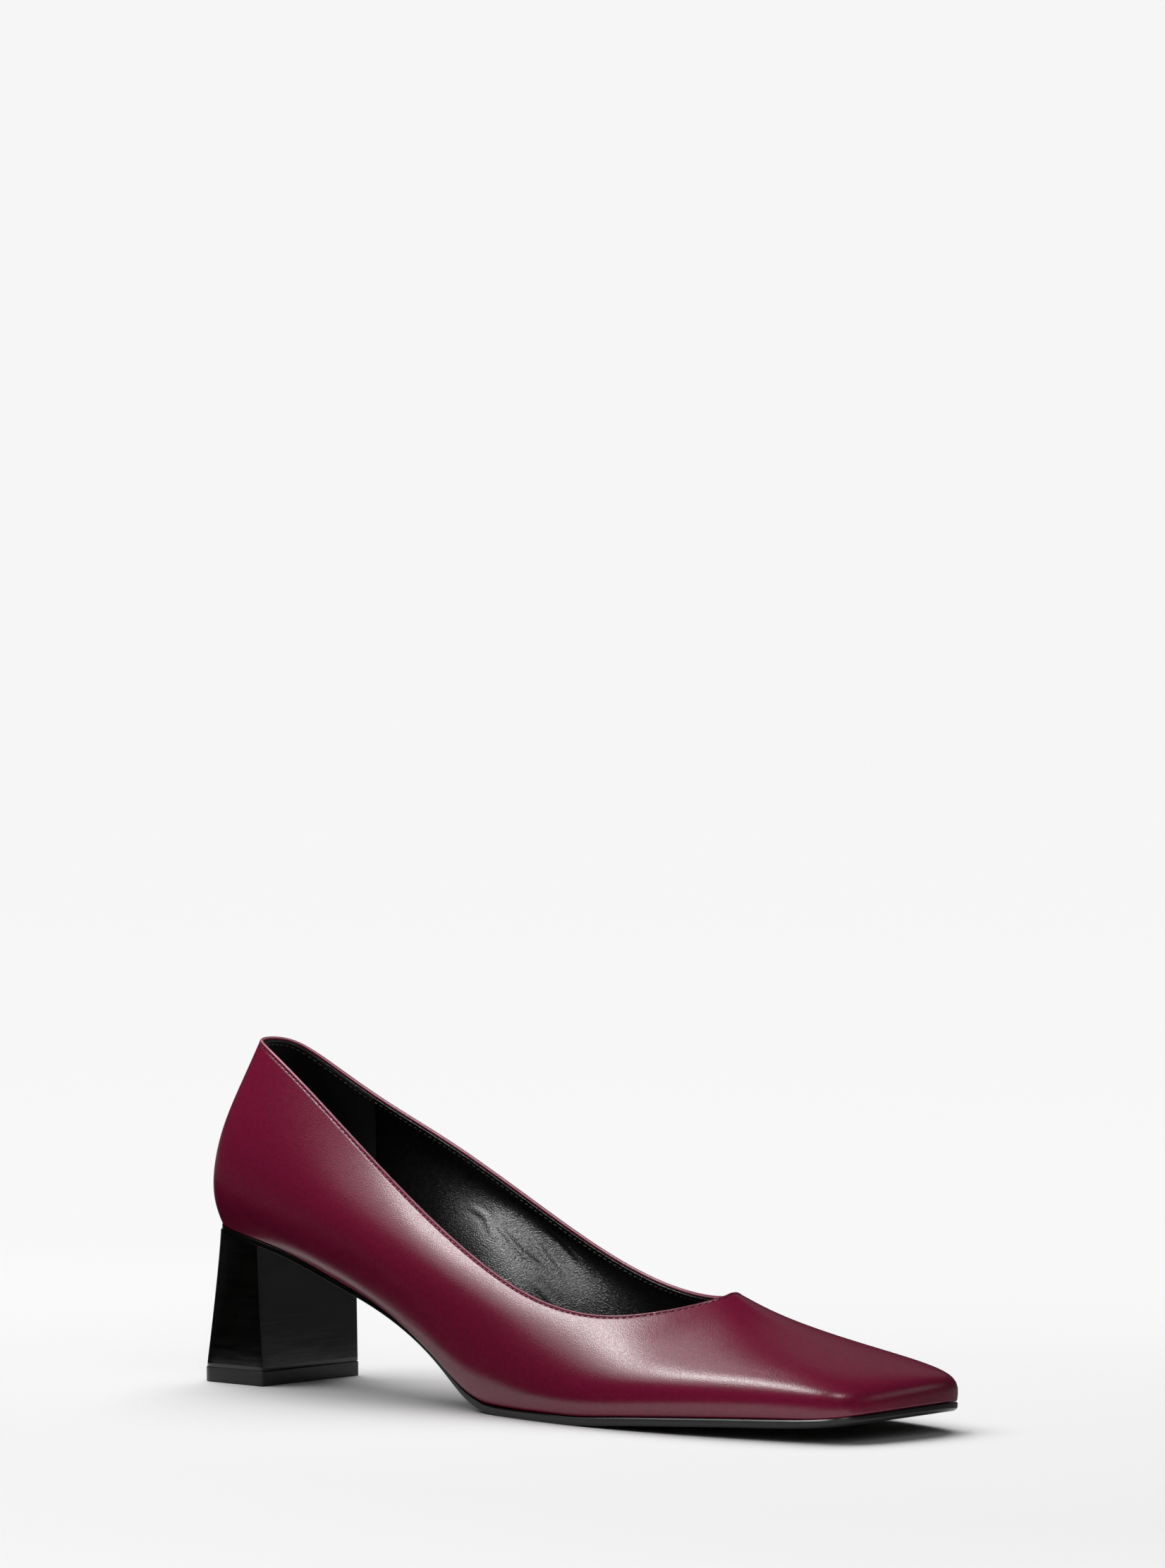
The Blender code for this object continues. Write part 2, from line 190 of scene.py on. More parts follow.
def cubic_weights(count: int, places: np.ndarray, closed: bool) -> np.ndarray:
    """Weights of the control points of a uniform cubic B-spline.

    Args:
        count: Number of control points.
        places: Places along the spline, in an array of any shape.
        closed: Whether the last point joins the first.

    Returns:
        The array of places with one more axis, the weights of the control points.
    """
    span = np.floor(places).astype(int)
    if closed:
        places = places - span + span % count
        span = span % count
    else:
        span = np.clip(span, 0, count - 2)
    t = places - span
    basis = ((1 - t) ** 3, 3 * t**3 - 6 * t**2 + 4, -3 * t**3 + 3 * t**2 + 3 * t + 1, t**3)
    spread = np.zeros((*places.shape, count + 3))
    rows = np.indices(places.shape)
    for step, value in enumerate(basis):
        spread[(*rows, span + step)] += value / 6
    weights = spread[..., 1 : count + 1].copy()
    before = spread[..., 0]
    after = spread[..., count + 1]
    if closed:
        weights[..., -1] += before
        weights[..., 0] += after
        weights[..., 1] += spread[..., count + 2]
    else:
        weights[..., 0] += 2 * before
        weights[..., 1] -= before
        weights[..., -1] += 2 * after
        weights[..., -2] -= after
    return weights


def ease(x: np.ndarray, start: float, full: float) -> np.ndarray:
    """Smooth step from 0 at start to 1 at full."""
    share = np.clip((x - start) / (full - start), 0.0, 1.0)
    return share * share * (3 - 2 * share)


def hump(x: np.ndarray, centre: float, width: float) -> np.ndarray:
    """Soft bell of height 1 about a centre."""
    return np.exp(-(((x - centre) / width) ** 2))


def grid_faces(columns: int, rows: int, round_loop: bool) -> np.ndarray:
    """Quads over a grid of points numbered column by column, each column a closed section.

    Args:
        columns: Number of columns.
        rows: Number of points in a column.
        round_loop: Whether the last column joins the first.

    Returns:
        Array of quads, facing out of the sections.
    """
    starts = np.arange(columns if round_loop else columns - 1)
    column, row = np.meshgrid(starts, np.arange(rows), indexing="ij")
    after = (column + 1) % columns
    above = (row + 1) % rows
    corners = (column * rows + row, after * rows + row, after * rows + above, column * rows + above)
    return np.stack(corners, axis=-1).reshape(-1, 4)


def ring_faces(count: int, levels: int) -> list:
    """Quads between closed rings of points, from the lowest ring to the highest.

    Args:
        count: Number of points in a ring.
        levels: Number of rings.

    Returns:
        The quads, facing out of the rings.
    """
    faces = []
    for below in range(0, count * (levels - 1), count):
        above = below + count
        for i in range(count):
            after = (i + 1) % count
            faces.append((below + i, below + after, above + after, above + i))
    return faces


def in_metres(points: np.ndarray) -> list:
    """Points of the tables' frame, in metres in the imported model's frame."""
    return ((points + CENTRING) * MILLIMETRE).tolist()


def add_object(name: str, data: bpy.types.ID) -> bpy.types.Object:
    """Adds an object to the scene."""
    thing = bpy.data.objects.new(name, data)
    bpy.context.scene.collection.objects.link(thing)
    return thing


def make_piece(
    name: str, points: np.ndarray, faces: list, finish: bpy.types.Material, sharp: float = 60.0
) -> bpy.types.Object:
    """Makes a smooth mesh object, in metres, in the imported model's frame.

    Args:
        name: Name of the piece.
        points: Points in millimetres, in the tables' frame.
        faces: Faces as lists of point numbers.
        finish: Material of the whole piece.
        sharp: Angle in degrees over which an edge stays sharp.

    Returns:
        The new object.
    """
    mesh = bpy.data.meshes.new(name)
    mesh.from_pydata(in_metres(points), [], faces)
    mesh.materials.append(finish)
    mesh.shade_smooth()
    mesh.set_sharp_from_angle(angle=math.radians(sharp))
    return add_object(name, mesh)


def settle(piece: bpy.types.Object, node: str | None = None) -> None:
    """Hangs a finished piece on the frame.

    Args:
        piece: The piece.
        node: Solid that it stands for, if any.
    """
    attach(piece, BODY)
    if node:
        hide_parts(node)
    LOG.info("%s: %d faces", piece.name, len(piece.data.polygons))


@dataclass(frozen=True)
class Last:
    """Shape that the shoe is built on: the sole's line and the ribs of the upper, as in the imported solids."""

    waist_thickness: float = 1.4
    tread_thickness: float = 2.2
    tread_start: float = -25.0
    tread_full: float = 8.0
    seat_gap: float = 0.3
    seat_fade: float = 2.0
    swell_shares: tuple[float, ...] = (0.05, 0.2, 0.5, 0.8)
    level_start: float = -0.5
    level_full: float = 4.0
    rib_points: int = 6
    tape_steps: int = 161
    line_steps: int = 1200

    @cached_property
    def line(self) -> np.ndarray:
        """Dense places and heights of the sole's underside."""
        raw = np.array([(point.x, point.height) for point in SOLE_LINE])
        places = np.linspace(0, len(raw) - 1, self.line_steps)
        return cubic_weights(len(raw), places, closed=False) @ raw

    @cached_property
    def net(self) -> np.ndarray:
        """Control points of the upper: ribs round the shoe from the back along the outer side."""
        outer = [self.rib_net(rib, Side.OUTER) for rib in OUTER_RIBS]
        inner = [self.rib_net(rib, Side.INNER) for rib in reversed(INNER_RIBS)]
        back = self.rib_net(BACK_RIB, Side.INNER)
        toe = self.rib_net(TOE_RIB, Side.INNER)
        return np.array([back, *outer, toe, *inner])

    def columns(self, per_rib: int) -> np.ndarray:
        """Even places round the loop of ribs."""
        return np.arange(len(self.net) * per_rib) / per_rib

    def tread_share(self, x: np.ndarray) -> np.ndarray:
        """Share of the tread in the sole, from 0 at the waist to 1."""
        return ease(x, self.tread_start, self.tread_full)

    def sole_bottom(self, x: np.ndarray) -> np.ndarray:
        """Height of the outsole's underside."""
        return np.interp(x, self.line[:, 0], self.line[:, 1])

    def sole_top(self, x: np.ndarray) -> np.ndarray:
        """Height of the outsole's upper face."""
        thickness = self.waist_thickness + (self.tread_thickness - self.waist_thickness) * self.tread_share(x)
        return self.sole_bottom(x) + thickness

    def rib_net(self, rib: Rib, side: Side) -> np.ndarray:
        """Control points of one rib.

        Args:
            rib: The rib.
            side: Side of the foot that it stands on.

        Returns:
            Its control points, from the sole to the topline.
        """
        base = float(self.sole_top(np.array(rib.foot_x))) + self.seat_gap
        foot = np.array([rib.foot_x, side.value * rib.foot_y, base])
        top = np.array([rib.top_x, side.value * rib.top_y, base + rib.rise])
        face = math.radians(rib.face)
        tilt = math.radians(rib.tilt)
        level = math.cos(tilt)
        out = np.array([-math.cos(face) * level, side.value * math.sin(face) * level, math.sin(tilt)])
        swells = zip(self.swell_shares, rib.swells)
        middle = [foot + (top - foot) * share + out * swell for share, swell in swells]
        return np.array([foot, *middle, top])

    def skin(self, around: np.ndarray, up: np.ndarray) -> np.ndarray:
        """Points on the outside of the upper.

        Args:
            around: Places round the loop of ribs, one for each column.
            up: Places up the ribs, for each column and row.

        Returns:
            Points by column and row.
        """
        columns = np.einsum("ln,nkc->lkc", cubic_weights(len(self.net), around, closed=True), self.net)
        points = np.einsum("lrk,lkc->lrc", cubic_weights(self.rib_points, up, closed=False), columns)
        drop = self.sole_top(columns[:, 0, 0]) + self.seat_gap - columns[:, 0, 2]
        fade = np.clip(1 - up / (self.rib_points - 1), 0, 1) ** self.seat_fade
        points[..., 2] += drop[:, None] * fade
        return points

    def tape(self, around: np.ndarray) -> np.ndarray:
        """Lengths along the skin from the sole up, measured at even places up each rib."""
        places = np.linspace(0, self.rib_points - 1, self.tape_steps)
        dense = self.skin(around, np.broadcast_to(places, (len(around), self.tape_steps)))
        steps = np.linalg.norm(np.diff(dense, axis=1), axis=2)
        return np.concatenate([np.zeros((len(around), 1)), np.cumsum(steps, axis=1)], axis=1)

    def wall(
        self, around: np.ndarray, from_top: np.ndarray, offset: np.ndarray
    ) -> tuple[np.ndarray, np.ndarray]:
        """Points in the wall of the upper.

        Args:
            around: Places round the loop of ribs, one for each column.
            from_top: Distances under the topline along the skin, by column and row.
            offset: Distances out of the outer skin, by column and row.

        Returns:
            The points and the skin's normals there, by column and row.
        """
        below = self.tape(around)
        places = np.linspace(0, self.rib_points - 1, self.tape_steps)
        from_foot = below[:, -1:] - from_top
        up = np.stack([np.interp(row, tape, places) for row, tape in zip(from_foot, below)])
        step = 1e-3
        along = self.skin(around + step, up) - self.skin(around - step, up)
        rise = self.skin(around, up + step) - self.skin(around, up - step)
        normals = np.cross(along, rise)
        normals /= np.linalg.norm(normals, axis=2, keepdims=True)
        normals[..., 2] *= ease(from_foot, self.level_start, self.level_full)
        normals /= np.linalg.norm(normals, axis=2, keepdims=True)
        return self.skin(around, up) + normals * offset[..., None], normals

    def edge(self, around: np.ndarray, offset: Callable[[np.ndarray], np.ndarray]) -> np.ndarray:
        """Edge of the upper at the sole, in plan.

        Args:
            around: Places round the loop of ribs.
            offset: How far the edge is moved out, at each x.

        Returns:
            Points in plan.
        """
        feet = self.net[:, 0, :2]
        loop = cubic_weights(len(feet), around, closed=True) @ feet
        along = np.roll(loop, -1, axis=0) - np.roll(loop, 1, axis=0)
        out = np.column_stack([along[:, 1], -along[:, 0]])
        out /= np.linalg.norm(out, axis=1, keepdims=True)
        return loop + out * offset(loop[:, 0])[:, None]


@dataclass(frozen=True)
class WallSection:
    """Cross-section of a skin piece in the wall, by its edges and by distances out of the outer skin."""

    outside: float
    thickness: float
    top: float
    foot: float
    foot_round: float
    close_rows: tuple[float, ...]
    outer_rows: int
    inner_rows: int
    rim_steps: int = 9
    foot_steps: int = 5

    def face_places(self, lengths: np.ndarray, rows: int) -> np.ndarray:
        """Distances under the topline down one face, close together near the top.

        Args:
            lengths: Length of the skin in each column.
            rows: Number of rows below the close ones.

        Returns:
            Distances by column and row, from the top down.
        """
        close = np.broadcast_to(np.array(self.close_rows), (len(lengths), len(self.close_rows)))
        shares = np.linspace(0, 1, rows + 1)[1:]
        last = self.close_rows[-1]
        rest = last + (lengths[:, None] - self.foot - self.foot_round - last) * shares
        return np.concatenate([close, rest], axis=1)

    def outline(self, lengths: np.ndarray) -> tuple[np.ndarray, np.ndarray, np.ndarray]:
        """Closed outline of the section in each column: up the outer face, over the rim and down inside.

        Args:
            lengths: Length of the skin in each column.

        Returns:
            Distances under the topline, distances out of the skin, and the face of each row: 1 for the outer
            face, -1 for the inner one and 0 for the edges.
        """
        ones = np.ones((len(lengths), 1))
        half = self.thickness / 2
        turn = np.linspace(0, math.pi / 2, self.foot_steps)
        foot_down = lengths[:, None] - self.foot - self.foot_round * (1 - np.cos(turn))
        foot_out = -self.foot_round * (1 - np.sin(turn))
        rim = np.linspace(0, math.pi, self.rim_steps)
        outer = self.face_places(lengths, self.outer_rows)[:, ::-1]
        inner = self.face_places(lengths, self.inner_rows)
        foot_in = np.array([-self.thickness])
        distances = (
            foot_down[:, :-1],
            outer,
            ones * (self.top + half - half * np.sin(rim)),
            inner,
            lengths[:, None] - self.foot * ones,
        )
        offsets = (
            ones * foot_out[:-1],
            np.zeros_like(outer),
            ones * (half * np.cos(rim) - half),
            np.full_like(inner, -self.thickness),
            ones * foot_in,
        )
        sides = np.repeat([0, 1, 0, -1, 0], [part.shape[1] for part in distances])
        return np.concatenate(distances, axis=1), self.outside + np.concatenate(offsets, axis=1), sides


class Shader:
    """Node tree of one finish, with the steps that the finishes share."""

    def __init__(self, name: str) -> None:
        """Starts a material that holds only its Principled shader."""
        self.material = bpy.data.materials.new(name)
        self.material.use_nodes = True
        self.tree = self.material.node_tree
        self.surface = self.tree.nodes["Principled BSDF"]
        self.place = self.tree.nodes.new("ShaderNodeTexCoord").outputs["Object"]

    def set(self, **values: float | tuple) -> None:
        """Sets sockets of the Principled shader, named with underscores."""
        for name, value in values.items():
            self.surface.inputs[name.replace("_", " ")].default_value = value

    def link(self, source: bpy.types.NodeSocket, socket: str) -> None:
        """Feeds a socket of the Principled shader."""
        self.tree.links.new(source, self.surface.inputs[socket])

    def stretched(self, stretch: tuple[float, float, float]) -> bpy.types.NodeSocket:
        """Place on the piece with its axes stretched for a drawn-out pattern."""
        mapping = self.tree.nodes.new("ShaderNodeMapping")
        mapping.inputs["Scale"].default_value = stretch
        self.tree.links.new(self.place, mapping.inputs["Vector"])
        return mapping.outputs["Vector"]

    def noise(
        self, size: float, detail: float = 2.0, stretch: tuple[float, float, float] | None = None
    ) -> bpy.types.NodeSocket:
        """Cloudy pattern.

        Args:
            size: Size of a cloud, in millimetres.
            detail: Octaves of finer detail.
            stretch: Scale of the axes, for a drawn-out pattern.

        Returns:
            Its value.
        """
        node = self.tree.nodes.new("ShaderNodeTexNoise")
        node.inputs["Scale"].default_value = 1 / (size * MILLIMETRE)
        node.inputs["Detail"].default_value = detail
        self.tree.links.new(self.stretched(stretch) if stretch else self.place, node.inputs["Vector"])
        return node.outputs[0]

    def cells(self, size: float) -> bpy.types.NodeSocket:
        """Pattern of rounded pebbles of a size in millimetres, as the distance in each."""
        node = self.tree.nodes.new("ShaderNodeTexVoronoi")
        node.feature = "SMOOTH_F1"
        node.inputs["Scale"].default_value = 1 / (size * MILLIMETRE)
        node.inputs["Smoothness"].default_value = 0.8
        self.tree.links.new(self.place, node.inputs["Vector"])
        return node.outputs["Distance"]

    def ranged(
        self, value: bpy.types.NodeSocket, start: tuple[float, float], end: tuple[float, float]
    ) -> bpy.types.NodeSocket:
        """Maps a value from one range to another, and keeps it there."""
        node = self.tree.nodes.new("ShaderNodeMapRange")
        for name, number in zip(("From Min", "From Max", "To Min", "To Max"), (*start, *end)):
            node.inputs[name].default_value = number
        self.tree.links.new(value, node.inputs["Value"])
        return node.outputs["Result"]

    def combined(
        self, operation: str, first: bpy.types.NodeSocket, second: bpy.types.NodeSocket
    ) -> bpy.types.NodeSocket:
        """Joins two patterns by a sum or a product."""
        node = self.tree.nodes.new("ShaderNodeMath")
        node.operation = operation
        self.tree.links.new(first, node.inputs[0])
        self.tree.links.new(second, node.inputs[1])
        return node.outputs[0]

    def tinted(self, value: bpy.types.NodeSocket, low: tuple, high: tuple, ends: tuple[float, float]) -> None:
        """Colours the surface between two tints.

        Args:
            value: Pattern that mixes them.
            low: Tint at the pattern's low end.
            high: Tint at its high end.
            ends: The pattern's low and high ends.
        """
        node = self.tree.nodes.new("ShaderNodeValToRGB")
        for element, position, color in zip(node.color_ramp.elements, ends, (low, high)):
            element.position = position
            element.color = (*color, 1.0)
        self.tree.links.new(value, node.inputs["Fac"])
        self.link(node.outputs["Color"], "Base Color")

    def marked(self, mark: str, color: tuple[float, float, float]) -> None:
        """Blends the surface's tint into another where the mesh marks it.

        Args:
            mark: Name of the mesh's mark, from 0 to 1.
            color: Tint where the mark is 1.
        """
        given = self.tree.nodes.new("ShaderNodeAttribute")
        given.attribute_name = mark
        mix = self.tree.nodes.new("ShaderNodeMixRGB")
        base = self.surface.inputs["Base Color"]
        self.tree.links.new(given.outputs["Fac"], mix.inputs["Fac"])
        self.tree.links.new(base.links[0].from_socket, mix.inputs["Color1"])
        mix.inputs["Color2"].default_value = (*color, 1.0)
        self.tree.links.new(mix.outputs["Color"], base)

    def bump(
        self, height: bpy.types.NodeSocket, depth: float, under: bpy.types.NodeSocket | None = None
    ) -> bpy.types.NodeSocket:
        """Relief of the surface.

        Args:
            height: Pattern of heights from 0 to 1.
            depth: Depth of the relief, in millimetres.
            under: Coarser relief that this one lies on.

        Returns:
            The normal.
        """
        node = self.tree.nodes.new("ShaderNodeBump")
        node.inputs["Distance"].default_value = depth * MILLIMETRE
        self.tree.links.new(height, node.inputs["Height"])
        if under:
            self.tree.links.new(under, node.inputs["Normal"])
        return node.outputs["Normal"]


@dataclass(frozen=True)
class GrainLeather:
    """Dyed leather with a fine pebbled grain and a satin finish of a given refractive index.

    The haze is a broad soft gloss over the finish, as its share and its roughness. The rim tint is a painted
    highlight: a paler colour along a folded edge, standing in for the glint of light on its bead.
    """

    name: str
    deep: tuple[float, float, float]
    light: tuple[float, float, float]
    gloss: tuple[float, float]
    grain: float
    grain_depth: float
    wave: float
    wave_depth: float
    index: float
    haze: tuple[float, float] = (0.0, 0.5)
    rim: tuple[float, float, float] | None = None

    def material(self) -> bpy.types.Material:
        """Makes the material."""
        shader = Shader(self.name)
        shader.set(IOR=self.index, Coat_Weight=self.haze[0], Coat_Roughness=self.haze[1])
        mottle = shader.noise(self.grain * 5, detail=3.0)
        shader.tinted(mottle, self.deep, self.light, (0.3, 0.7))
        # Painted highlight: the pale rim tint is blended in where the mesh marks the fold's bead
        if self.rim:
            shader.marked(RIM_GLINT_MARK, self.rim)
        shader.link(shader.ranged(shader.noise(self.grain * 3), (0.3, 0.7), self.gloss), "Roughness")
        wave = shader.bump(shader.noise(self.wave, detail=1.0), self.wave_depth)
        pebbles = shader.combined("ADD", shader.cells(self.grain * 1.3), shader.noise(self.grain, detail=0.5))
        shader.link(shader.bump(pebbles, self.grain_depth, wave), "Normal")
        return shader.material


@dataclass(frozen=True)
class Suede:
    """Napped lining that drinks the light."""

    name: str
    deep: tuple[float, float, float]
    light: tuple[float, float, float]
    nap: float

    def material(self) -> bpy.types.Material:
        """Makes the material."""
        shader = Shader(self.name)
        shader.set(Sheen_Weight=0.15, Sheen_Roughness=0.5, Specular_IOR_Level=0.15)
        fibres = shader.noise(self.nap, detail=4.0)
        shader.tinted(shader.noise(self.nap * 12), self.deep, self.light, (0.35, 0.65))
        shader.link(shader.ranged(fibres, (0.3, 0.7), (0.85, 1.0)), "Roughness")
        shader.link(shader.bump(fibres, self.nap * 0.3), "Normal")
        return shader.material


@dataclass(frozen=True)
class Painted:
    """Lacquered or moulded black surface with faint streaks drawn along it."""

    name: str
    deep: tuple[float, float, float]
    light: tuple[float, float, float]
    gloss: tuple[float, float]
    streak: float
    stretch: tuple[float, float, float]
    streak_depth: float
    pore: float
    pore_depth: float

    def material(self) -> bpy.types.Material:
        """Makes the material."""
        shader = Shader(self.name)
        streaks = shader.noise(self.streak, detail=3.0, stretch=self.stretch)
        shader.tinted(streaks, self.deep, self.light, (0.35, 0.7))
        shader.link(shader.ranged(streaks, (0.3, 0.7), self.gloss), "Roughness")
        drawn = shader.bump(streaks, self.streak_depth)
        shader.link(shader.bump(shader.noise(self.pore), self.pore_depth, drawn), "Normal")
        return shader.material


@dataclass(frozen=True)
class Thread:
    """Twisted sewing thread."""

    name: str
    deep: tuple[float, float, float]
    light: tuple[float, float, float]

    def material(self) -> bpy.types.Material:
        """Makes the material."""
        shader = Shader(self.name)
        shader.set(Roughness=0.35, Sheen_Weight=0.2)
        fibres = shader.noise(0.25, detail=3.0)
        shader.tinted(fibres, self.deep, self.light, (0.3, 0.7))
        shader.link(shader.bump(fibres, 0.06), "Normal")
        return shader.material


BURGUNDY = GrainLeather(
    name="burgundy leather",
    deep=(0.218, 0.0042, 0.040),
    light=(0.266, 0.0060, 0.049),
    gloss=(0.20, 0.27),
    grain=0.28,
    grain_depth=0.026,
    wave=9.0,
    wave_depth=0.06,
    index=1.55,
    haze=(0.3, 0.42),
    # Pale pink rim tint: a painted highlight along the topline's folded bead
    rim=(0.85, 0.40, 0.50),
)
BLACK_LINING = GrainLeather(
    name="black lining leather",
    deep=(0.006, 0.006, 0.006),
    light=(0.012, 0.012, 0.012),
    gloss=(0.24, 0.32),
    grain=0.34,
    grain_depth=0.085,
    wave=12.0,
    wave_depth=0.1,
    index=1.6,
)
BLACK_SOCK = GrainLeather(
    name="black sock leather",
    deep=(0.007, 0.007, 0.007),
    light=(0.012, 0.012, 0.012),
    gloss=(0.5, 0.6),
    grain=0.7,
    grain_depth=0.06,
    wave=15.0,
    wave_depth=0.1,
    index=1.45,
)
BLACK_SUEDE = Suede("black suede grip", deep=(0.0035, 0.0035, 0.003), light=(0.006, 0.006, 0.0055), nap=0.25)
SOLE_EDGE = Painted(
    name="black sole",
    deep=(0.004, 0.004, 0.004),
    light=(0.008, 0.008, 0.008),
    gloss=(0.2, 0.28),
    streak=4.0,
    stretch=(0.25, 0.25, 3.0),
    streak_depth=0.02,
    pore=0.4,
    pore_depth=0.01,
)
HEEL_COVER = Painted(
    name="black heel cover",
    deep=(0.0016, 0.0013, 0.0011),
    light=(0.004, 0.0034, 0.003),
    gloss=(0.16, 0.24),
    streak=3.0,
    stretch=(0.2, 0.2, 3.0),
    streak_depth=0.014,
    pore=0.5,
    pore_depth=0.012,
)
LIFT_RUBBER = Painted(
    name="black lift",
    deep=(0.006, 0.006, 0.006),
    light=(0.012, 0.012, 0.012),
    gloss=(0.35, 0.45),
    streak=2.0,
    stretch=(0.3, 0.3, 2.0),
    streak_depth=0.02,
    pore=0.35,
    pore_depth=0.02,
)
BURGUNDY_THREAD = Thread("burgundy thread", deep=(0.05, 0.002, 0.010), light=(0.14, 0.008, 0.030))
GREY_THREAD = Thread("grey lining thread", deep=(0.05, 0.05, 0.05), light=(0.13, 0.13, 0.13))


@dataclass(frozen=True)
class StitchRow:
    """Row of stitches along a closed path, made by a node tree.

    Sizes are millimetres, and slant is the turn of a stitch from its row in degrees.
    """

    name: str
    thread: Thread
    pitch: float
    length: float
    width: float
    slant: float
    seed: int

    def tree(self) -> bpy.types.NodeTree:
        """Builds the node tree that lays a stitch at every step of the path."""
        tree = bpy.data.node_groups.new(f"{self.name}_tree", "GeometryNodeTree")
        wanted = (
            ("Path", "NodeSocketGeometry"),
            ("Pitch", "NodeSocketFloat"),
            ("Stitch Length", "NodeSocketFloat"),
            ("Thread Width", "NodeSocketFloat"),
            ("Slant", "NodeSocketFloat"),
            ("Seed", "NodeSocketInt"),
            ("Thread", "NodeSocketMaterial"),
        )
        for name, kind in wanted:
            tree.interface.new_socket(name, in_out="INPUT", socket_type=kind)
        tree.interface.new_socket("Stitches", in_out="OUTPUT", socket_type="NodeSocketGeometry")

        def add(kind: str, choices: dict | None = None, **sources: bpy.types.NodeSocket) -> bpy.types.Node:
            """Adds a node.

            Args:
                kind: Type of the node.
                choices: Its own settings.
                sources: What feeds its inputs, named with underscores.

            Returns:
                The node.
            """
            node = tree.nodes.new(kind)
            for name, choice in (choices or {}).items():
                setattr(node, name, choice)
            for name, source in sources.items():
                tree.links.new(source, node.inputs[name.replace("_", " ")])
            return node

        given = add("NodeGroupInput").outputs
        curve = add("GeometryNodeMeshToCurve", Mesh=given["Path"])
        by_length = {"mode": "LENGTH"}
        spaced = add(
            "GeometryNodeResampleCurve", by_length, Curve=curve.outputs["Curve"], Length=given["Pitch"]
        )
        tangent = add("GeometryNodeInputTangent")
        facing = add("GeometryNodeInputNamedAttribute", {"data_type": "FLOAT_VECTOR"})
        facing.inputs["Name"].default_value = "face_out"
        along = add("FunctionNodeAlignRotationToVector", {"axis": "X"}, Vector=tangent.outputs["Tangent"])
        outward = add(
            "FunctionNodeAlignRotationToVector",
            {"axis": "Z", "pivot_axis": "X"},
            Rotation=along.outputs["Rotation"],
            Vector=facing.outputs["Attribute"],
        )
        lean = add("FunctionNodeAxisAngleToRotation", Angle=given["Slant"])
        lean.inputs["Axis"].default_value = (0.0, 0.0, 1.0)
        turned = add(
            "FunctionNodeRotateRotation",
            {"rotation_space": "LOCAL"},
            Rotation=outward.outputs["Rotation"],
            Rotate_By=lean.outputs["Rotation"],
        )
        uneven = add("FunctionNodeRandomValue", {"data_type": "FLOAT"}, Seed=given["Seed"])
        uneven.inputs[2].default_value = 0.92
        uneven.inputs[3].default_value = 1.05
        long = add("ShaderNodeMath", {"operation": "MULTIPLY"})
        tree.links.new(given["Stitch Length"], long.inputs[0])
        tree.links.new(uneven.outputs[1], long.inputs[1])
        across = given["Thread Width"]
        size = add("ShaderNodeCombineXYZ", X=long.outputs[0], Y=across, Z=across)
        bead = add("GeometryNodeMeshUVSphere")
        bead.inputs["Segments"].default_value = 8
        bead.inputs["Rings"].default_value = 5
        bead.inputs["Radius"].default_value = 0.5
        upright = add("GeometryNodeTransform", Geometry=bead.outputs["Mesh"])
        upright.inputs["Rotation"].default_value = (0.0, math.pi / 2, 0.0)
        laid = add(
            "GeometryNodeInstanceOnPoints",
            Points=spaced.outputs["Curve"],
            Instance=upright.outputs["Geometry"],
            Rotation=turned.outputs["Rotation"],
            Scale=size.outputs["Vector"],
        )
        real = add("GeometryNodeRealizeInstances", Geometry=laid.outputs["Instances"])
        smooth = add("GeometryNodeSetShadeSmooth", Geometry=real.outputs["Geometry"])
        dressed = add(
            "GeometryNodeSetMaterial", Geometry=smooth.outputs["Geometry"], Material=given["Thread"]
        )
        add("NodeGroupOutput", Stitches=dressed.outputs["Geometry"])
        return tree

    def path(self, points: np.ndarray, normals: np.ndarray) -> bpy.types.Object:
        """Makes the closed path of the row.

        Args:
            points: Points along the row.
            normals: Directions out of the surface there.

        Returns:
            An object of edges alone.
        """
        count = len(points)
        mesh = bpy.data.meshes.new(f"{self.name}_path")
        edges = [(i, (i + 1) % count) for i in range(count)]
        mesh.from_pydata(in_metres(points), edges, [])
        facing = mesh.attributes.new("face_out", "FLOAT_VECTOR", "POINT")
        facing.data.foreach_set("vector", normals.astype(np.float32).ravel())
        return add_object(f"{self.name}_path", mesh)

    def sew(self, points: np.ndarray, normals: np.ndarray) -> bpy.types.Object:
        """Lays the stitches along a path.

        Args:
            points: Points along the row.
            normals: Directions out of the surface there.

        Returns:
            The stitches as one plain mesh object.
        """
        path = self.path(points, normals)
        thread = self.thread.material()
        values = {
            "Pitch": self.pitch * MILLIMETRE,
            "Stitch Length": self.length * MILLIMETRE,
            "Thread Width": self.width * MILLIMETRE,
            "Slant": math.radians(self.slant),
            "Seed": self.seed,
            "Thread": thread,
        }
        modifier = path.modifiers.new("stitches", "NODES")
        modifier.node_group = self.tree()
        for item in modifier.node_group.interface.items_tree:
            if item.in_out == "INPUT" and item.name in values:
                modifier[item.identifier] = values[item.name]
        evaluated = path.evaluated_get(bpy.context.evaluated_depsgraph_get())
        mesh = bpy.data.meshes.new_from_object(evaluated)
        mesh.name = self.name
        if not mesh.materials:
            mesh.materials.append(thread)
        path.modifiers.remove(modifier)
        bpy.data.objects.remove(path)
        return add_object(self.name, mesh)


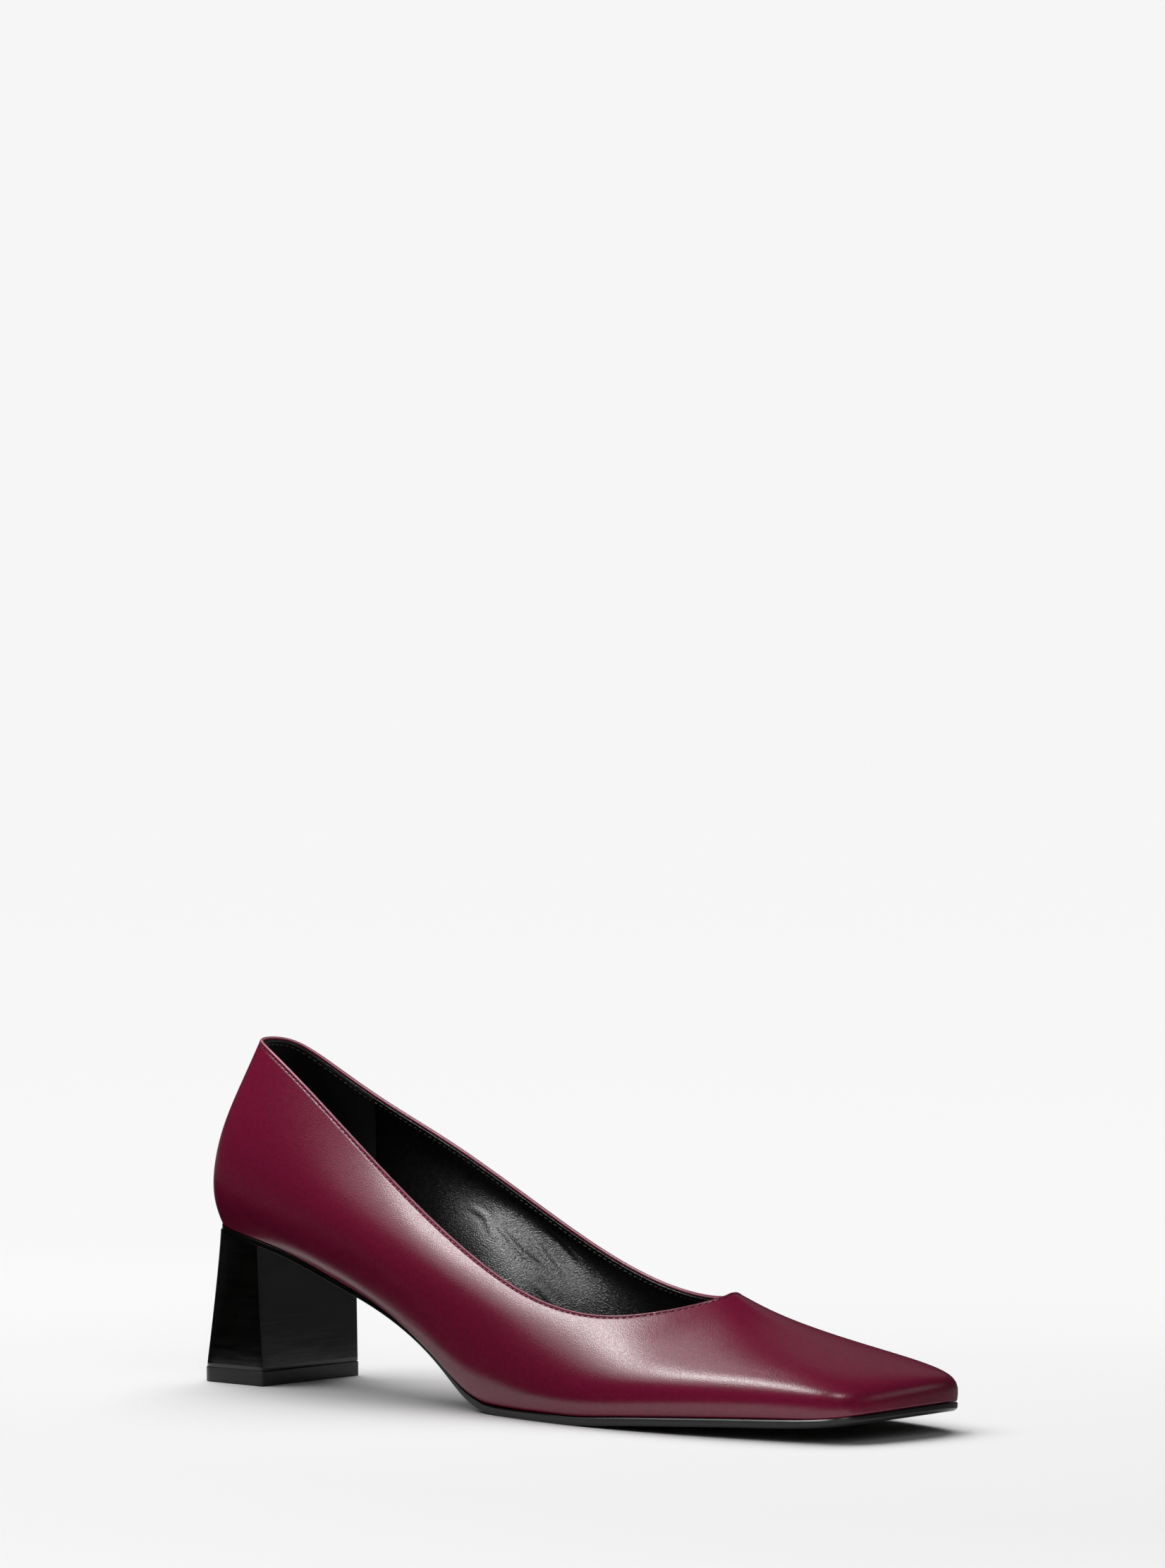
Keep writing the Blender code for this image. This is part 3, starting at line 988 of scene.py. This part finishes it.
@dataclass(frozen=True)
class Upper:
    """Leather upper with its folded topline and the row of stitches under it.

    The painted glint's line and width place a pale painted highlight along the fold's bead, and the thread
    sinks by a share of its groove.
    """

    last: Last
    columns_per_rib: int = 20
    stitch_line: float = 1.2
    groove_depth: float = 0.15
    groove_width: float = 0.32
    fold_puff: float = 0.06
    painted_glint_line: float = 0.18
    painted_glint_width: float = 0.13
    thread_sink: float = 0.6
    section: WallSection = WallSection(
        outside=0.0,
        thickness=1.1,
        top=0.0,
        foot=0.0,
        foot_round=0.6,
        close_rows=(0.62, 0.72, 0.82, 0.92, 1.0, 1.1, 1.2, 1.3, 1.4, 1.5, 1.6, 1.72, 1.9, 2.2, 2.6, 3.1),
        outer_rows=44,
        inner_rows=10,
    )
    stitches: StitchRow = StitchRow(
        "topline_stitches", BURGUNDY_THREAD, pitch=2.02, length=1.3, width=0.42, slant=8.0, seed=4
    )

    def relief(self, from_top: np.ndarray, offset: np.ndarray) -> np.ndarray:
        """Shallow groove that the stitches lie in, and the fold that puffs up over it.

        Args:
            from_top: Distances under the topline.
            offset: Distances out of the skin, by which the relief fades out over the rim.

        Returns:
            Heights of the relief out of the skin.
        """
        groove = hump(from_top, self.stitch_line, self.groove_width)
        fold = hump(from_top, self.stitch_line * 0.5, self.stitch_line * 0.3)
        outer = np.clip(1 + offset / (self.section.thickness / 2), 0.0, 1.0)
        return (self.fold_puff * fold - self.groove_depth * groove) * outer

    def build(self) -> None:
        """Builds the leather and sews its topline."""
        around = self.last.columns(self.columns_per_rib)
        from_top, offset, _ = self.section.outline(self.last.tape(around)[:, -1])
        offset = offset + self.relief(from_top, offset)
        points, _ = self.last.wall(around, from_top, offset)
        faces = grid_faces(*from_top.shape, round_loop=True).tolist()
        leather = make_piece("leather_upper", points.reshape(-1, 3), faces, BURGUNDY.material())
        # The rim mark carries a painted highlight: a paler tint on the fold's bead in place of its glint.
        mark = leather.data.attributes.new(RIM_GLINT_MARK, "FLOAT", "POINT")
        pale = hump(from_top, self.painted_glint_line, self.painted_glint_width)
        mark.data.foreach_set("value", pale.astype(np.float32).ravel())
        settle(leather, "upper")
        down = np.full((len(around), 1), self.stitch_line)
        row, normals = self.last.wall(around, down, np.full_like(down, -self.groove_depth * self.thread_sink))
        settle(self.stitches.sew(row[:, 0], normals[:, 0]))


@dataclass(frozen=True)
class Crease:
    """Wrinkle or swell of the lining on its inner side, as a line in side view.

    The trough on each side is a share of the ridge's height, some widths away from it, and the fade is the
    share of the line that each end takes to rise.
    """

    line: tuple[tuple[float, float], ...]
    width: float
    depth: float
    trough: float = 0.6
    trough_widths: float = 2.0
    fade: float = 0.35

    def relief(self, x: np.ndarray, z: np.ndarray) -> np.ndarray:
        """Soft ridge with a trough on each side, faded at its ends.

        Args:
            x: Places along the shoe.
            z: Heights.

        Returns:
            Heights of the wrinkle into the shoe.
        """
        nearest = np.full_like(x, np.inf)
        run = np.zeros_like(x)
        total = 0.0
        for (x0, z0), (x1, z1) in zip(self.line, self.line[1:]):
            length = math.hypot(x1 - x0, z1 - z0)
            share = np.clip(((x - x0) * (x1 - x0) + (z - z0) * (z1 - z0)) / length**2, 0, 1)
            distance = np.hypot(x - x0 - share * (x1 - x0), z - z0 - share * (z1 - z0))
            run = np.where(distance < nearest, total + share * length, run)
            nearest = np.minimum(nearest, distance)
            total += length
        sides = hump(nearest, self.trough_widths * self.width, self.width)
        ridge = hump(nearest, 0.0, self.width) - self.trough * sides
        rise = total * self.fade
        return self.depth * ridge * ease(run, 0.0, rise) * ease(total - run, 0.0, rise)


@dataclass(frozen=True)
class Lining:
    """Black lining of the upper, its suede heel grip and the row of stitches that holds it at the topline.

    The starts and ends are places round the loop of ribs, which is closed, so the grip runs on over the back.
    """

    last: Last
    stitch_line: float = 2.0
    columns_per_rib: int = 16
    wrinkled_start: float = 21.5
    wrinkled_end: float = 24.5
    wrinkled_columns_per_rib: int = 48
    grip_start: float = 25.2
    grip_end: float = 30.8
    grip_columns: int = 150
    grip_step: float = 0.1
    section: WallSection = WallSection(
        outside=-1.15,
        thickness=0.65,
        top=0.7,
        foot=0.0,
        foot_round=0.2,
        close_rows=(1.1, 1.3, 1.5, 1.7, 1.9, 2.1, 2.3, 2.6),
        outer_rows=8,
        inner_rows=64,
    )
    grip: WallSection = WallSection(
        outside=-1.8,
        thickness=0.4,
        top=1.0,
        foot=2.9,
        foot_round=0.2,
        close_rows=(1.3, 1.5, 1.7, 1.9, 2.1, 2.3, 2.6),
        outer_rows=40,
        inner_rows=40,
    )
    stitches: StitchRow = StitchRow(
        "lining_stitches", GREY_THREAD, pitch=2.05, length=1.5, width=0.32, slant=4.0, seed=9
    )
    creases: tuple[Crease, ...] = (
        Crease(((-54.0, 58.0), (-34.0, 40.0), (-14.0, 20.0)), 8.0, 0.9),
        Crease(((-30.0, 52.0), (-20.0, 46.0), (-11.0, 38.5)), 0.6, 0.18),
        Crease(((-54.0, 56.0), (-46.0, 52.3), (-39.0, 45.0)), 0.7, 0.14),
        Crease(((-43.0, 51.5), (-31.0, 42.6), (-20.0, 36.5)), 0.6, 0.18),
        Crease(((-32.0, 49.0), (-24.0, 42.0), (-14.0, 33.5)), 0.6, 0.16),
        Crease(((-25.0, 36.0), (-17.7, 29.5), (-11.0, 24.0)), 0.7, 0.14),
    )

    def wrinkles(self, points: np.ndarray) -> np.ndarray:
        """Heights of all wrinkles at points of the lining."""
        heights = sum(crease.relief(points[..., 0], points[..., 2]) for crease in self.creases)
        return np.where(points[..., 1] > 0, heights, 0.0)

    def around(self) -> np.ndarray:
        """Places of the lining's columns, closer together where it is wrinkled."""
        even = 1 / self.columns_per_rib
        close = 1 / self.wrinkled_columns_per_rib
        stretches = (
            (0, self.wrinkled_start, even),
            (self.wrinkled_start, self.wrinkled_end, close),
            (self.wrinkled_end, len(self.last.net), even),
        )
        return np.concatenate([np.arange(*stretch) for stretch in stretches])

    def build(self) -> None:
        """Builds the lining, the grip and the stitches."""
        around = self.around()
        from_top, offset, sides = self.section.outline(self.last.tape(around)[:, -1])
        smooth, _ = self.last.wall(around, from_top, offset)
        offset = offset - np.where(sides == -1, self.wrinkles(smooth), 0.0)
        points, _ = self.last.wall(around, from_top, offset)
        faces = grid_faces(*from_top.shape, round_loop=True).tolist()
        settle(make_piece("lining", points.reshape(-1, 3), faces, BLACK_LINING.material()))
        self.build_grip()
        down = np.full((len(around), 1), self.stitch_line)
        middle = len(self.last.net) / 2
        grip_edge = self.grip_start - middle
        from_toe = np.abs(around - middle)
        in_grip = ease(from_toe, grip_edge - self.grip_step, grip_edge + self.grip_step)
        depth = self.section.outside - self.section.thickness - self.grip.thickness * in_grip
        row, normals = self.last.wall(around, down, depth[:, None])
        settle(self.stitches.sew(row[:, 0], -normals[:, 0]))

    def build_grip(self) -> None:
        """Builds the suede piece round the back of the heel, over the lining."""
        around = np.linspace(self.grip_start, self.grip_end, self.grip_columns)
        from_top, offset, _ = self.grip.outline(self.last.tape(around)[:, -1])
        points, _ = self.last.wall(around, from_top, offset)
        columns, rows = from_top.shape
        faces = grid_faces(columns, rows, round_loop=False).tolist()
        last = (columns - 1) * rows
        for row in range(rows // 2):
            facing = rows - 1 - row
            ends = (row, row + 1, facing - 1, facing)
            if len({row + 1, facing - 1}) == 1:
                ends = (row, row + 1, facing)
            faces.append(ends)
            faces.append([last + i for i in reversed(ends)])
        settle(make_piece("heel_grip", points.reshape(-1, 3), faces, BLACK_SUEDE.material()))


@dataclass(frozen=True)
class Plate:
    """Flat piece that follows the sole's line: rings round its edge, and a grid across each face."""

    cross: int = 12

    def face(
        self, ring: np.ndarray, first: int, start: int, height: Callable, up: bool
    ) -> tuple[np.ndarray, list]:
        """Grid across a ring that starts at the back and turns at the toe.

        Args:
            ring: Points of the ring.
            first: Number of the ring's first point.
            start: Number of the grid's first point.
            height: Height of the face at each x and y.
            up: Whether it faces up.

        Returns:
            The grid's own points and its faces.
        """
        count = len(ring)
        half = count // 2
        shares = np.linspace(0, 1, self.cross + 1)[1:-1, None]
        lines = []
        inside = []
        for i in range(1, half):
            between = ring[i, :2] + (ring[count - i, :2] - ring[i, :2]) * shares
            inside.append(np.column_stack([between, height(between[:, 0], between[:, 1])]))
            begin = start + (i - 1) * (self.cross - 1)
            lines.append([first + i, *range(begin, begin + self.cross - 1), first + count - i])
        faces = []
        for k in range(self.cross):
            faces.append((first, lines[0][k], lines[0][k + 1]))
            faces.append((first + half, lines[-1][k + 1], lines[-1][k]))
        for here, after in zip(lines, lines[1:]):
            for k in range(self.cross):
                faces.append((here[k], after[k], after[k + 1], here[k + 1]))
        return np.concatenate(inside), faces if up else [face[::-1] for face in faces]

    def solid(self, rings: list[np.ndarray], low: Callable, high: Callable) -> tuple[np.ndarray, list]:
        """Closed plate through rings, from the edge of its lower face to the edge of its upper one.

        Args:
            rings: Rings of points.
            low: Height of the lower face at each x and y.
            high: Height of the upper face.

        Returns:
            Points and faces.
        """
        count = len(rings[0])
        faces = ring_faces(count, len(rings))
        start = count * len(rings)
        under, under_faces = self.face(rings[0], 0, start, low, up=False)
        over, over_faces = self.face(rings[-1], start - count, start + len(under), high, up=True)
        return np.concatenate([*rings, under, over]), faces + under_faces + over_faces


@dataclass(frozen=True)
class Sock:
    """Insole board with its sock, rounded at its upper edge and faintly crowned."""

    last: Last
    inset: float = 2.1
    gap: float = 0.3
    thickness: float = 2.0
    edge_round: float = 0.5
    crown: float = 0.3
    columns_per_rib: int = 12
    plate: Plate = Plate(cross=16)

    def build(self) -> None:
        """Builds the sock."""
        around = self.last.columns(self.columns_per_rib)
        turn = np.linspace(0, math.pi / 2, 5)
        heights = [0.0, *(self.thickness - self.edge_round * (1 - np.sin(turn)))]
        insets = [0.0, *(self.edge_round * (1 - np.cos(turn)))]
        rings = []
        for height, inset in zip(heights, insets):
            plan = self.last.edge(around, lambda x: np.full_like(x, -self.inset - inset))
            rings.append(np.column_stack([plan, self.last.sole_top(plan[:, 0]) + self.gap + height]))

        def low(x: np.ndarray, y: np.ndarray) -> np.ndarray:
            """Height of the underside."""
            return self.last.sole_top(x) + self.gap

        def high(x: np.ndarray, y: np.ndarray) -> np.ndarray:
            """Height of the crowned upper side."""
            spread = np.abs(y - y.mean()) / (np.ptp(y) / 2 + 1.0)
            return low(x, y) + self.thickness + self.crown * (1 - np.clip(spread, 0, 1) ** 2)

        points, faces = self.plate.solid(rings, low, high)
        settle(make_piece("sock", points, faces, BLACK_SOCK.material(), 80.0), "insole")


@dataclass(frozen=True)
class Sole:
    """Thin outsole with a rounded lower edge and a narrow bevel at its upper edge.

    The bevel's rings are places in its widths: how far in from the edge, and how far under the upper face.
    """

    last: Last
    waist_edge: float = 0.3
    tread_edge: float = 1.0
    toe_edge: float = 0.2
    toe_start: float = 100.0
    toe_full: float = 126.0
    waist_round: float = 0.25
    tread_round: float = 0.7
    toe_round: float = 1.3
    bevel: float = 0.32
    waist_bevel_share: float = 0.2
    bevel_rings: tuple[tuple[float, float], ...] = ((0.0, 1.2), (1.0, 0.0), (2.5, 0.0))
    seat: float = 0.27
    columns_per_rib: int = 20
    plate: Plate = Plate(cross=12)

    def top(self, x: np.ndarray) -> np.ndarray:
        """Height of the upper face, close under the upper's edge."""
        return self.last.sole_top(x) + self.seat

    def edge(self, x: np.ndarray) -> np.ndarray:
        """How far the sole stands out of the upper's edge."""
        at_tread = self.waist_edge + (self.tread_edge - self.waist_edge) * self.last.tread_share(x)
        return at_tread + (self.toe_edge - self.tread_edge) * ease(x, self.toe_start, self.toe_full)

    def round_at(self, x: np.ndarray) -> np.ndarray:
        """Radius of the lower edge, small along the waist and large at the toe."""
        at_tread = self.waist_round + (self.tread_round - self.waist_round) * self.last.tread_share(x)
        return at_tread + (self.toe_round - self.tread_round) * ease(x, self.toe_start, self.toe_full)

    def bevel_at(self, x: np.ndarray) -> np.ndarray:
        """Width of the bevel, narrower along the waist."""
        least = self.waist_bevel_share
        return self.bevel * (least + (1 - least) * self.last.tread_share(x))

    def build(self) -> None:
        """Builds the sole."""
        around = self.last.columns(self.columns_per_rib)
        turn = np.linspace(0, math.pi / 2, 6)
        rings = []
        for angle in turn:
            inset = 1 - math.sin(angle)
            plan = self.last.edge(around, lambda x: self.edge(x) - inset * self.round_at(x))
            over = (1 - math.cos(angle)) * self.round_at(plan[:, 0])
            rings.append(np.column_stack([plan, self.last.sole_bottom(plan[:, 0]) + over]))
        for inward, under in self.bevel_rings:
            plan = self.last.edge(around, lambda x: self.edge(x) - inward * self.bevel_at(x))
            rings.append(np.column_stack([plan, self.top(plan[:, 0]) - under * self.bevel_at(plan[:, 0])]))
        points, faces = self.plate.solid(
            rings, lambda x, y: self.last.sole_bottom(x), lambda x, y: self.top(x)
        )
        settle(make_piece("sole", points, faces, SOLE_EDGE.material(), 35.0), "outsole")


@dataclass(frozen=True)
class Heel:
    """Block heel and the lift under it."""

    last: Last
    gap: float = 0.12
    flare: float = 1.2
    lift_thickness: float = 4.5
    lift_edge: float = 0.1
    breast_round: float = 0.5
    foot_round: float = 0.14
    foot_share: float = 0.008
    rings: int = 40
    corner_steps: int = 16
    side_steps: int = 8
    edge_steps: int = 5
    breast_steps: int = 15

    def outline(self, section: HeelSection, grow: float) -> np.ndarray:
        """Closed plan of the heel from the middle of the back, round the outer side to the breast and back.

        Args:
            section: Plan of the heel at one height.
            grow: How far the plan is moved out.

        Returns:
            Points in plan.
        """
        back = section.back_x - grow
        breast = section.breast_x + grow
        corner = section.corner
        soft = self.breast_round
        turns = np.linspace(0, math.pi / 2, self.corner_steps)
        bends = np.linspace(0, math.pi / 2, self.edge_steps)
        flanks = []
        for width, side in ((section.outer_y, Side.OUTER), (section.inner_y, Side.INNER)):
            edge = width + grow
            side_x = np.linspace(back + corner, breast - soft, self.side_steps + 2)[1:-1]
            back_x = back + corner * (1 - np.cos(turns))
            back_y = edge - corner * (1 - np.sin(turns))
            front_x = breast - soft * (1 - np.sin(bends))
            front_y = edge - soft * (1 - np.cos(bends))
            x = np.concatenate([back_x, side_x, front_x])
            y = np.concatenate([back_y, np.full_like(side_x, edge), front_y])
            flanks.append(np.column_stack([x, side.value * y]))
        outer, inner = flanks
        across = np.linspace(outer[-1, 1], inner[-1, 1], self.breast_steps + 2)[1:-1]
        breast_line = np.column_stack([np.full_like(across, breast), across])
        middle = np.array([[back, (outer[0, 1] + inner[0, 1]) / 2]])
        return np.concatenate([middle, outer, breast_line, inner[::-1]])

    def stacked(self, rings: list[np.ndarray]) -> tuple[np.ndarray, list]:
        """Closed solid through rings, from the lowest to the highest."""
        count = len(rings[0])
        end = count * len(rings)
        under = list(range(count))[::-1]
        over = list(range(end - count, end))
        return np.concatenate(rings), [under, *ring_faces(count, len(rings)), over]

    def build(self) -> None:
        """Builds the block and the lift."""
        self.build_block()
        self.build_lift()

    def build_block(self) -> None:
        """Builds the block, squarer at the floor than at the seat."""
        foot = self.lift_thickness + self.gap
        rings = []
        shares = np.linspace(self.foot_share, 1, self.rings)
        for share, drawn_in in [(0.0, self.foot_round), *((share, 0.0) for share in shares)]:
            seat = self.outline(HEEL_SEAT, -drawn_in)
            floor = self.outline(HEEL_FLOOR, -drawn_in)
            plan = seat + (floor - seat) * (1 - share) ** self.flare
            top = self.last.sole_bottom(seat[:, 0]) - self.gap
            rings.append(np.column_stack([plan, foot + (top - foot) * share]))
        points, faces = self.stacked(rings)
        settle(make_piece("heel", points, faces, HEEL_COVER.material(), 40.0), "heel_block")

    def build_lift(self) -> None:
        """Builds the flat lift, a little proud of the block."""
        soft = self.foot_round
        levels = ((0.0, soft), (soft, 0.0), (self.lift_thickness - soft, 0.0), (self.lift_thickness, soft))
        rings = []
        for height, drawn_in in levels:
            plan = self.outline(HEEL_FLOOR, self.lift_edge - drawn_in)
            rings.append(np.column_stack([plan, np.full(len(plan), height)]))
        points, faces = self.stacked(rings)
        settle(make_piece("lift", points, faces, LIFT_RUBBER.material(), 40.0), "top_lift")


@dataclass(frozen=True)
class Softbox:
    """Rectangular light aimed at the shoe, with its distance and sizes in metres and its angles in degrees.

    Azimuth runs from the outer side towards the toe.
    """

    name: str
    azimuth: float
    elevation: float
    distance: float
    width: float
    height: float
    roll: float
    radiance: float
    lights: Lights = Lights.SHOE

    def place(self, aim: Vector, floor: bpy.types.Object) -> None:
        """Sets the light up, on the floor alone or on all but the floor."""
        light = bpy.data.lights.new(self.name, "AREA")
        light.shape = "RECTANGLE"
        light.size = self.width
        light.size_y = self.height
        light.energy = self.radiance * math.pi * self.width * self.height
        lamp = add_object(self.name, light)
        away = direction(self.azimuth, self.elevation)
        lamp.location = aim + away * self.distance
        lamp.rotation_mode = "QUATERNION"
        rolled = Quaternion((0.0, 0.0, 1.0), math.radians(self.roll))
        lamp.rotation_quaternion = away.to_track_quat("Z", "Y") @ rolled
        lamp.visible_camera = False
        linked = bpy.data.collections.new(f"{self.name} floor")
        linked.objects.link(floor)
        linked.collection_objects[0].light_linking.link_state = self.lights.value
        lamp.light_linking.receiver_collection = linked


def direction(azimuth: float, elevation: float) -> Vector:
    """Unit vector towards an azimuth (from the outer side towards the toe) and an elevation, in degrees."""
    a = math.radians(azimuth)
    e = math.radians(elevation)
    return Vector((math.sin(a) * math.cos(e), -math.cos(a) * math.cos(e), math.sin(e)))


def lay_stage(name: str, points: list, faces: list, finish: bpy.types.Material) -> bpy.types.Object:
    """Lays a piece of the stage, which isn't part of the shoe.

    Args:
        name: Name of the piece.
        points: Points in metres.
        faces: Faces as lists of point numbers.
        finish: Material of the whole piece.

    Returns:
        The new object.
    """
    mesh = bpy.data.meshes.new(name)
    mesh.from_pydata(points, [], faces)
    mesh.materials.append(finish)
    piece = add_object(name, mesh)
    return piece


@dataclass(frozen=True)
class FloorCard:
    """Card laid flat on the floor beside the shoe, which holds the floor's glow off it and isn't seen itself.

    Its level is how bright it is, and its edge towards the shoe is a line of places in millimetres, clockwise
    from above.
    """

    name: str
    level: float
    edge: tuple[tuple[float, float], ...]
    reach: float = 40.0
    height: float = 0.4

    def finish(self) -> bpy.types.Material:
        """Even glow on the upper side, and nothing on the under side."""
        shader = Shader(self.name)
        shader.set(Base_Color=(0.0, 0.0, 0.0, 1.0), Specular_IOR_Level=0.0)
        shader.set(Emission_Color=(1.0, 1.0, 1.0, 1.0), Emission_Strength=self.level)
        side = shader.tree.nodes.new("ShaderNodeNewGeometry")
        shader.link(shader.ranged(side.outputs["Backfacing"], (0.0, 1.0), (1.0, 0.0)), "Alpha")
        return shader.material

    def lay(self) -> None:
        """Lays the card from its edge outwards."""
        near = np.array(self.edge) * MILLIMETRE
        far = near * self.reach
        count = len(near)
        points = [(x, y, self.height * MILLIMETRE) for x, y in np.concatenate([near, far])]
        faces = [(i, i + 1, count + i + 1, count + i) for i in range(count - 1)]
        card = lay_stage(self.name, points, faces, self.finish())
        card.visible_camera = False
        card.visible_shadow = False


@dataclass(frozen=True)
class Studio:
    """Pale floor, soft lights and the camera, with distances in metres and angles in degrees."""

    azimuth: float = 40.8
    elevation: float = 4.9
    distance: float = 1.565
    lens: float = 121.86
    shift: tuple[float, float] = (0.0148, 0.3013)
    aim: tuple[float, float, float] = (0.0, 0.0, 0.044)
    pale: float = 0.92
    albedo: float = 0.8
    floor_reach: float = 20.0
    lit_radius: float = 0.35
    pale_radius: float = 0.8
    world: float = 0.02
    cards: tuple[FloorCard, ...] = (
        FloorCard(
            "black card",
            0.003,
            (
                (120, -110), (66, -64), (42, -54), (20, -50), (0, -50),
                (-30, -60), (-64, -64), (-100, -62), (-126, -56),
            ),
        ),
        FloorCard(
            "end card",
            0.003,
            ((-126, -56), (-146, -50), (-160, -38), (-172, -20), (-178, 0), (-190, 80)),
        ),
        FloorCard(
            "grey card",
            0.15,
            ((-190, 80), (-60, 90), (0, 66), (60, 60), (112, 52), (138, 28), (142, -6), (170, -40)),
        ),
    )
    softboxes: tuple[Softbox, ...] = (
        Softbox("overhead softbox", -45.0, 67.5, 0.714, 0.45, 0.11, 18.0, 13.0),
        Softbox("overhead halo", -45.0, 65.0, 0.73, 0.6, 0.3, 18.0, 2.3),
        Softbox("corner softbox", 65.0, 63.0, 1.02, 0.24, 0.12, 0.0, 13.0),
        Softbox("rim softbox", -112.0, 58.0, 1.0, 0.24, 0.12, 0.0, 4.0),
        Softbox("side panel", -52.0, 49.0, 1.1, 0.63, 0.25, 0.0, 1.2),
        Softbox("far panel", -150.0, 31.0, 1.6, 1.2, 0.6, 0.0, 0.12),
        Softbox("toe fill", 128.0, 24.0, 1.6, 0.9, 0.5, 0.0, 0.5),
        Softbox("back floor softbox", -135.0, 58.0, 4.5, 3.6, 3.6, 0.0, 4.6, Lights.FLOOR),
        Softbox("side floor softbox", -60.0, 55.0, 4.5, 3.6, 3.6, 0.0, 2.9, Lights.FLOOR),
        Softbox("floor fill", 60.0, 40.0, 2.5, 2.0, 2.0, 0.0, 0.7, Lights.FLOOR),
    )

    def lay_floor(self) -> bpy.types.Object:
        """Lays the wide flat floor."""
        reach = self.floor_reach
        corners = [(-reach, -reach, 0.0), (reach, -reach, 0.0), (reach, reach, 0.0), (-reach, reach, 0.0)]
        return lay_stage("floor", corners, [(0, 1, 2, 3)], self.floor_finish())

    def floor_finish(self) -> bpy.types.Material:
        """Pale floor, lit by the softboxes near the shoe and glowing evenly further out."""
        shader = Shader("pale floor")
        shader.set(Roughness=0.9, Specular_IOR_Level=0.1, Emission_Color=(1.0, 1.0, 1.0, 1.0))
        length = shader.tree.nodes.new("ShaderNodeVectorMath")
        length.operation = "LENGTH"
        shader.tree.links.new(shader.stretched((1.0, 2.0, 1.0)), length.inputs[0])
        radii = (self.lit_radius, self.pale_radius)
        glow = shader.ranged(length.outputs["Value"], radii, (0.0, self.pale))
        shader.link(glow, "Emission Strength")
        tone = (self.albedo, self.albedo, self.albedo)
        fade = shader.ranged(length.outputs["Value"], radii, (0.0, 1.0))
        shader.tinted(fade, tone, (0.0, 0.0, 0.0), (0.0, 1.0))
        return shader.material

    def light(self, floor: bpy.types.Object) -> None:
        """Sets up the lights and the dim room round them."""
        for softbox in self.softboxes:
            softbox.place(Vector(self.aim), floor)
        world = bpy.data.worlds.new("studio")
        world.use_nodes = True
        tree = world.node_tree
        tree.nodes.clear()
        room = tree.nodes.new("ShaderNodeBackground")
        room.inputs["Color"].default_value = (self.world, self.world, self.world, 1.0)
        backdrop = tree.nodes.new("ShaderNodeBackground")
        backdrop.inputs["Color"].default_value = (self.pale, self.pale, self.pale, 1.0)
        path = tree.nodes.new("ShaderNodeLightPath")
        mix = tree.nodes.new("ShaderNodeMixShader")
        output = tree.nodes.new("ShaderNodeOutputWorld")
        tree.links.new(path.outputs["Is Camera Ray"], mix.inputs["Fac"])
        tree.links.new(room.outputs["Background"], mix.inputs[1])
        tree.links.new(backdrop.outputs["Background"], mix.inputs[2])
        tree.links.new(mix.outputs["Shader"], output.inputs["Surface"])
        bpy.context.scene.world = world

    def camera(self) -> None:
        """Sets up the camera at the photograph's angle."""
        data = bpy.data.cameras.new("camera")
        data.lens = self.lens
        data.sensor_width = 36.0
        data.shift_x, data.shift_y = self.shift
        data.clip_end = 100.0
        camera = add_object("camera", data)
        back = direction(self.azimuth, self.elevation)
        right = direction(self.azimuth + 90.0, 0.0)
        up = back.cross(right)
        place = Matrix((right, up, back)).transposed().to_4x4()
        place.translation = Vector(self.aim) + back * self.distance
        camera.matrix_world = place
        bpy.context.scene.camera = camera

    def build(self) -> None:
        """Builds the studio."""
        floor = self.lay_floor()
        for card in self.cards:
            card.lay()
        self.light(floor)
        self.camera()
        bpy.context.scene.view_settings.view_transform = "Standard"
        LOG.info("studio: %d softboxes", len(self.softboxes))


@dataclass(frozen=True)
class CourtShoe:
    """The whole shoe."""

    last: Last = field(default_factory=Last)

    def build(self) -> None:
        """Builds the shoe from the sole up."""
        Sole(self.last).build()
        Heel(self.last).build()
        Sock(self.last).build()
        Lining(self.last).build()
        Upper(self.last).build()


def main() -> None:
    """Builds the shoe and its studio."""
    logging.basicConfig(level=logging.INFO, format="%(message)s")
    CourtShoe().build()
    Studio().build()


if __name__ == "__main__":
    main()
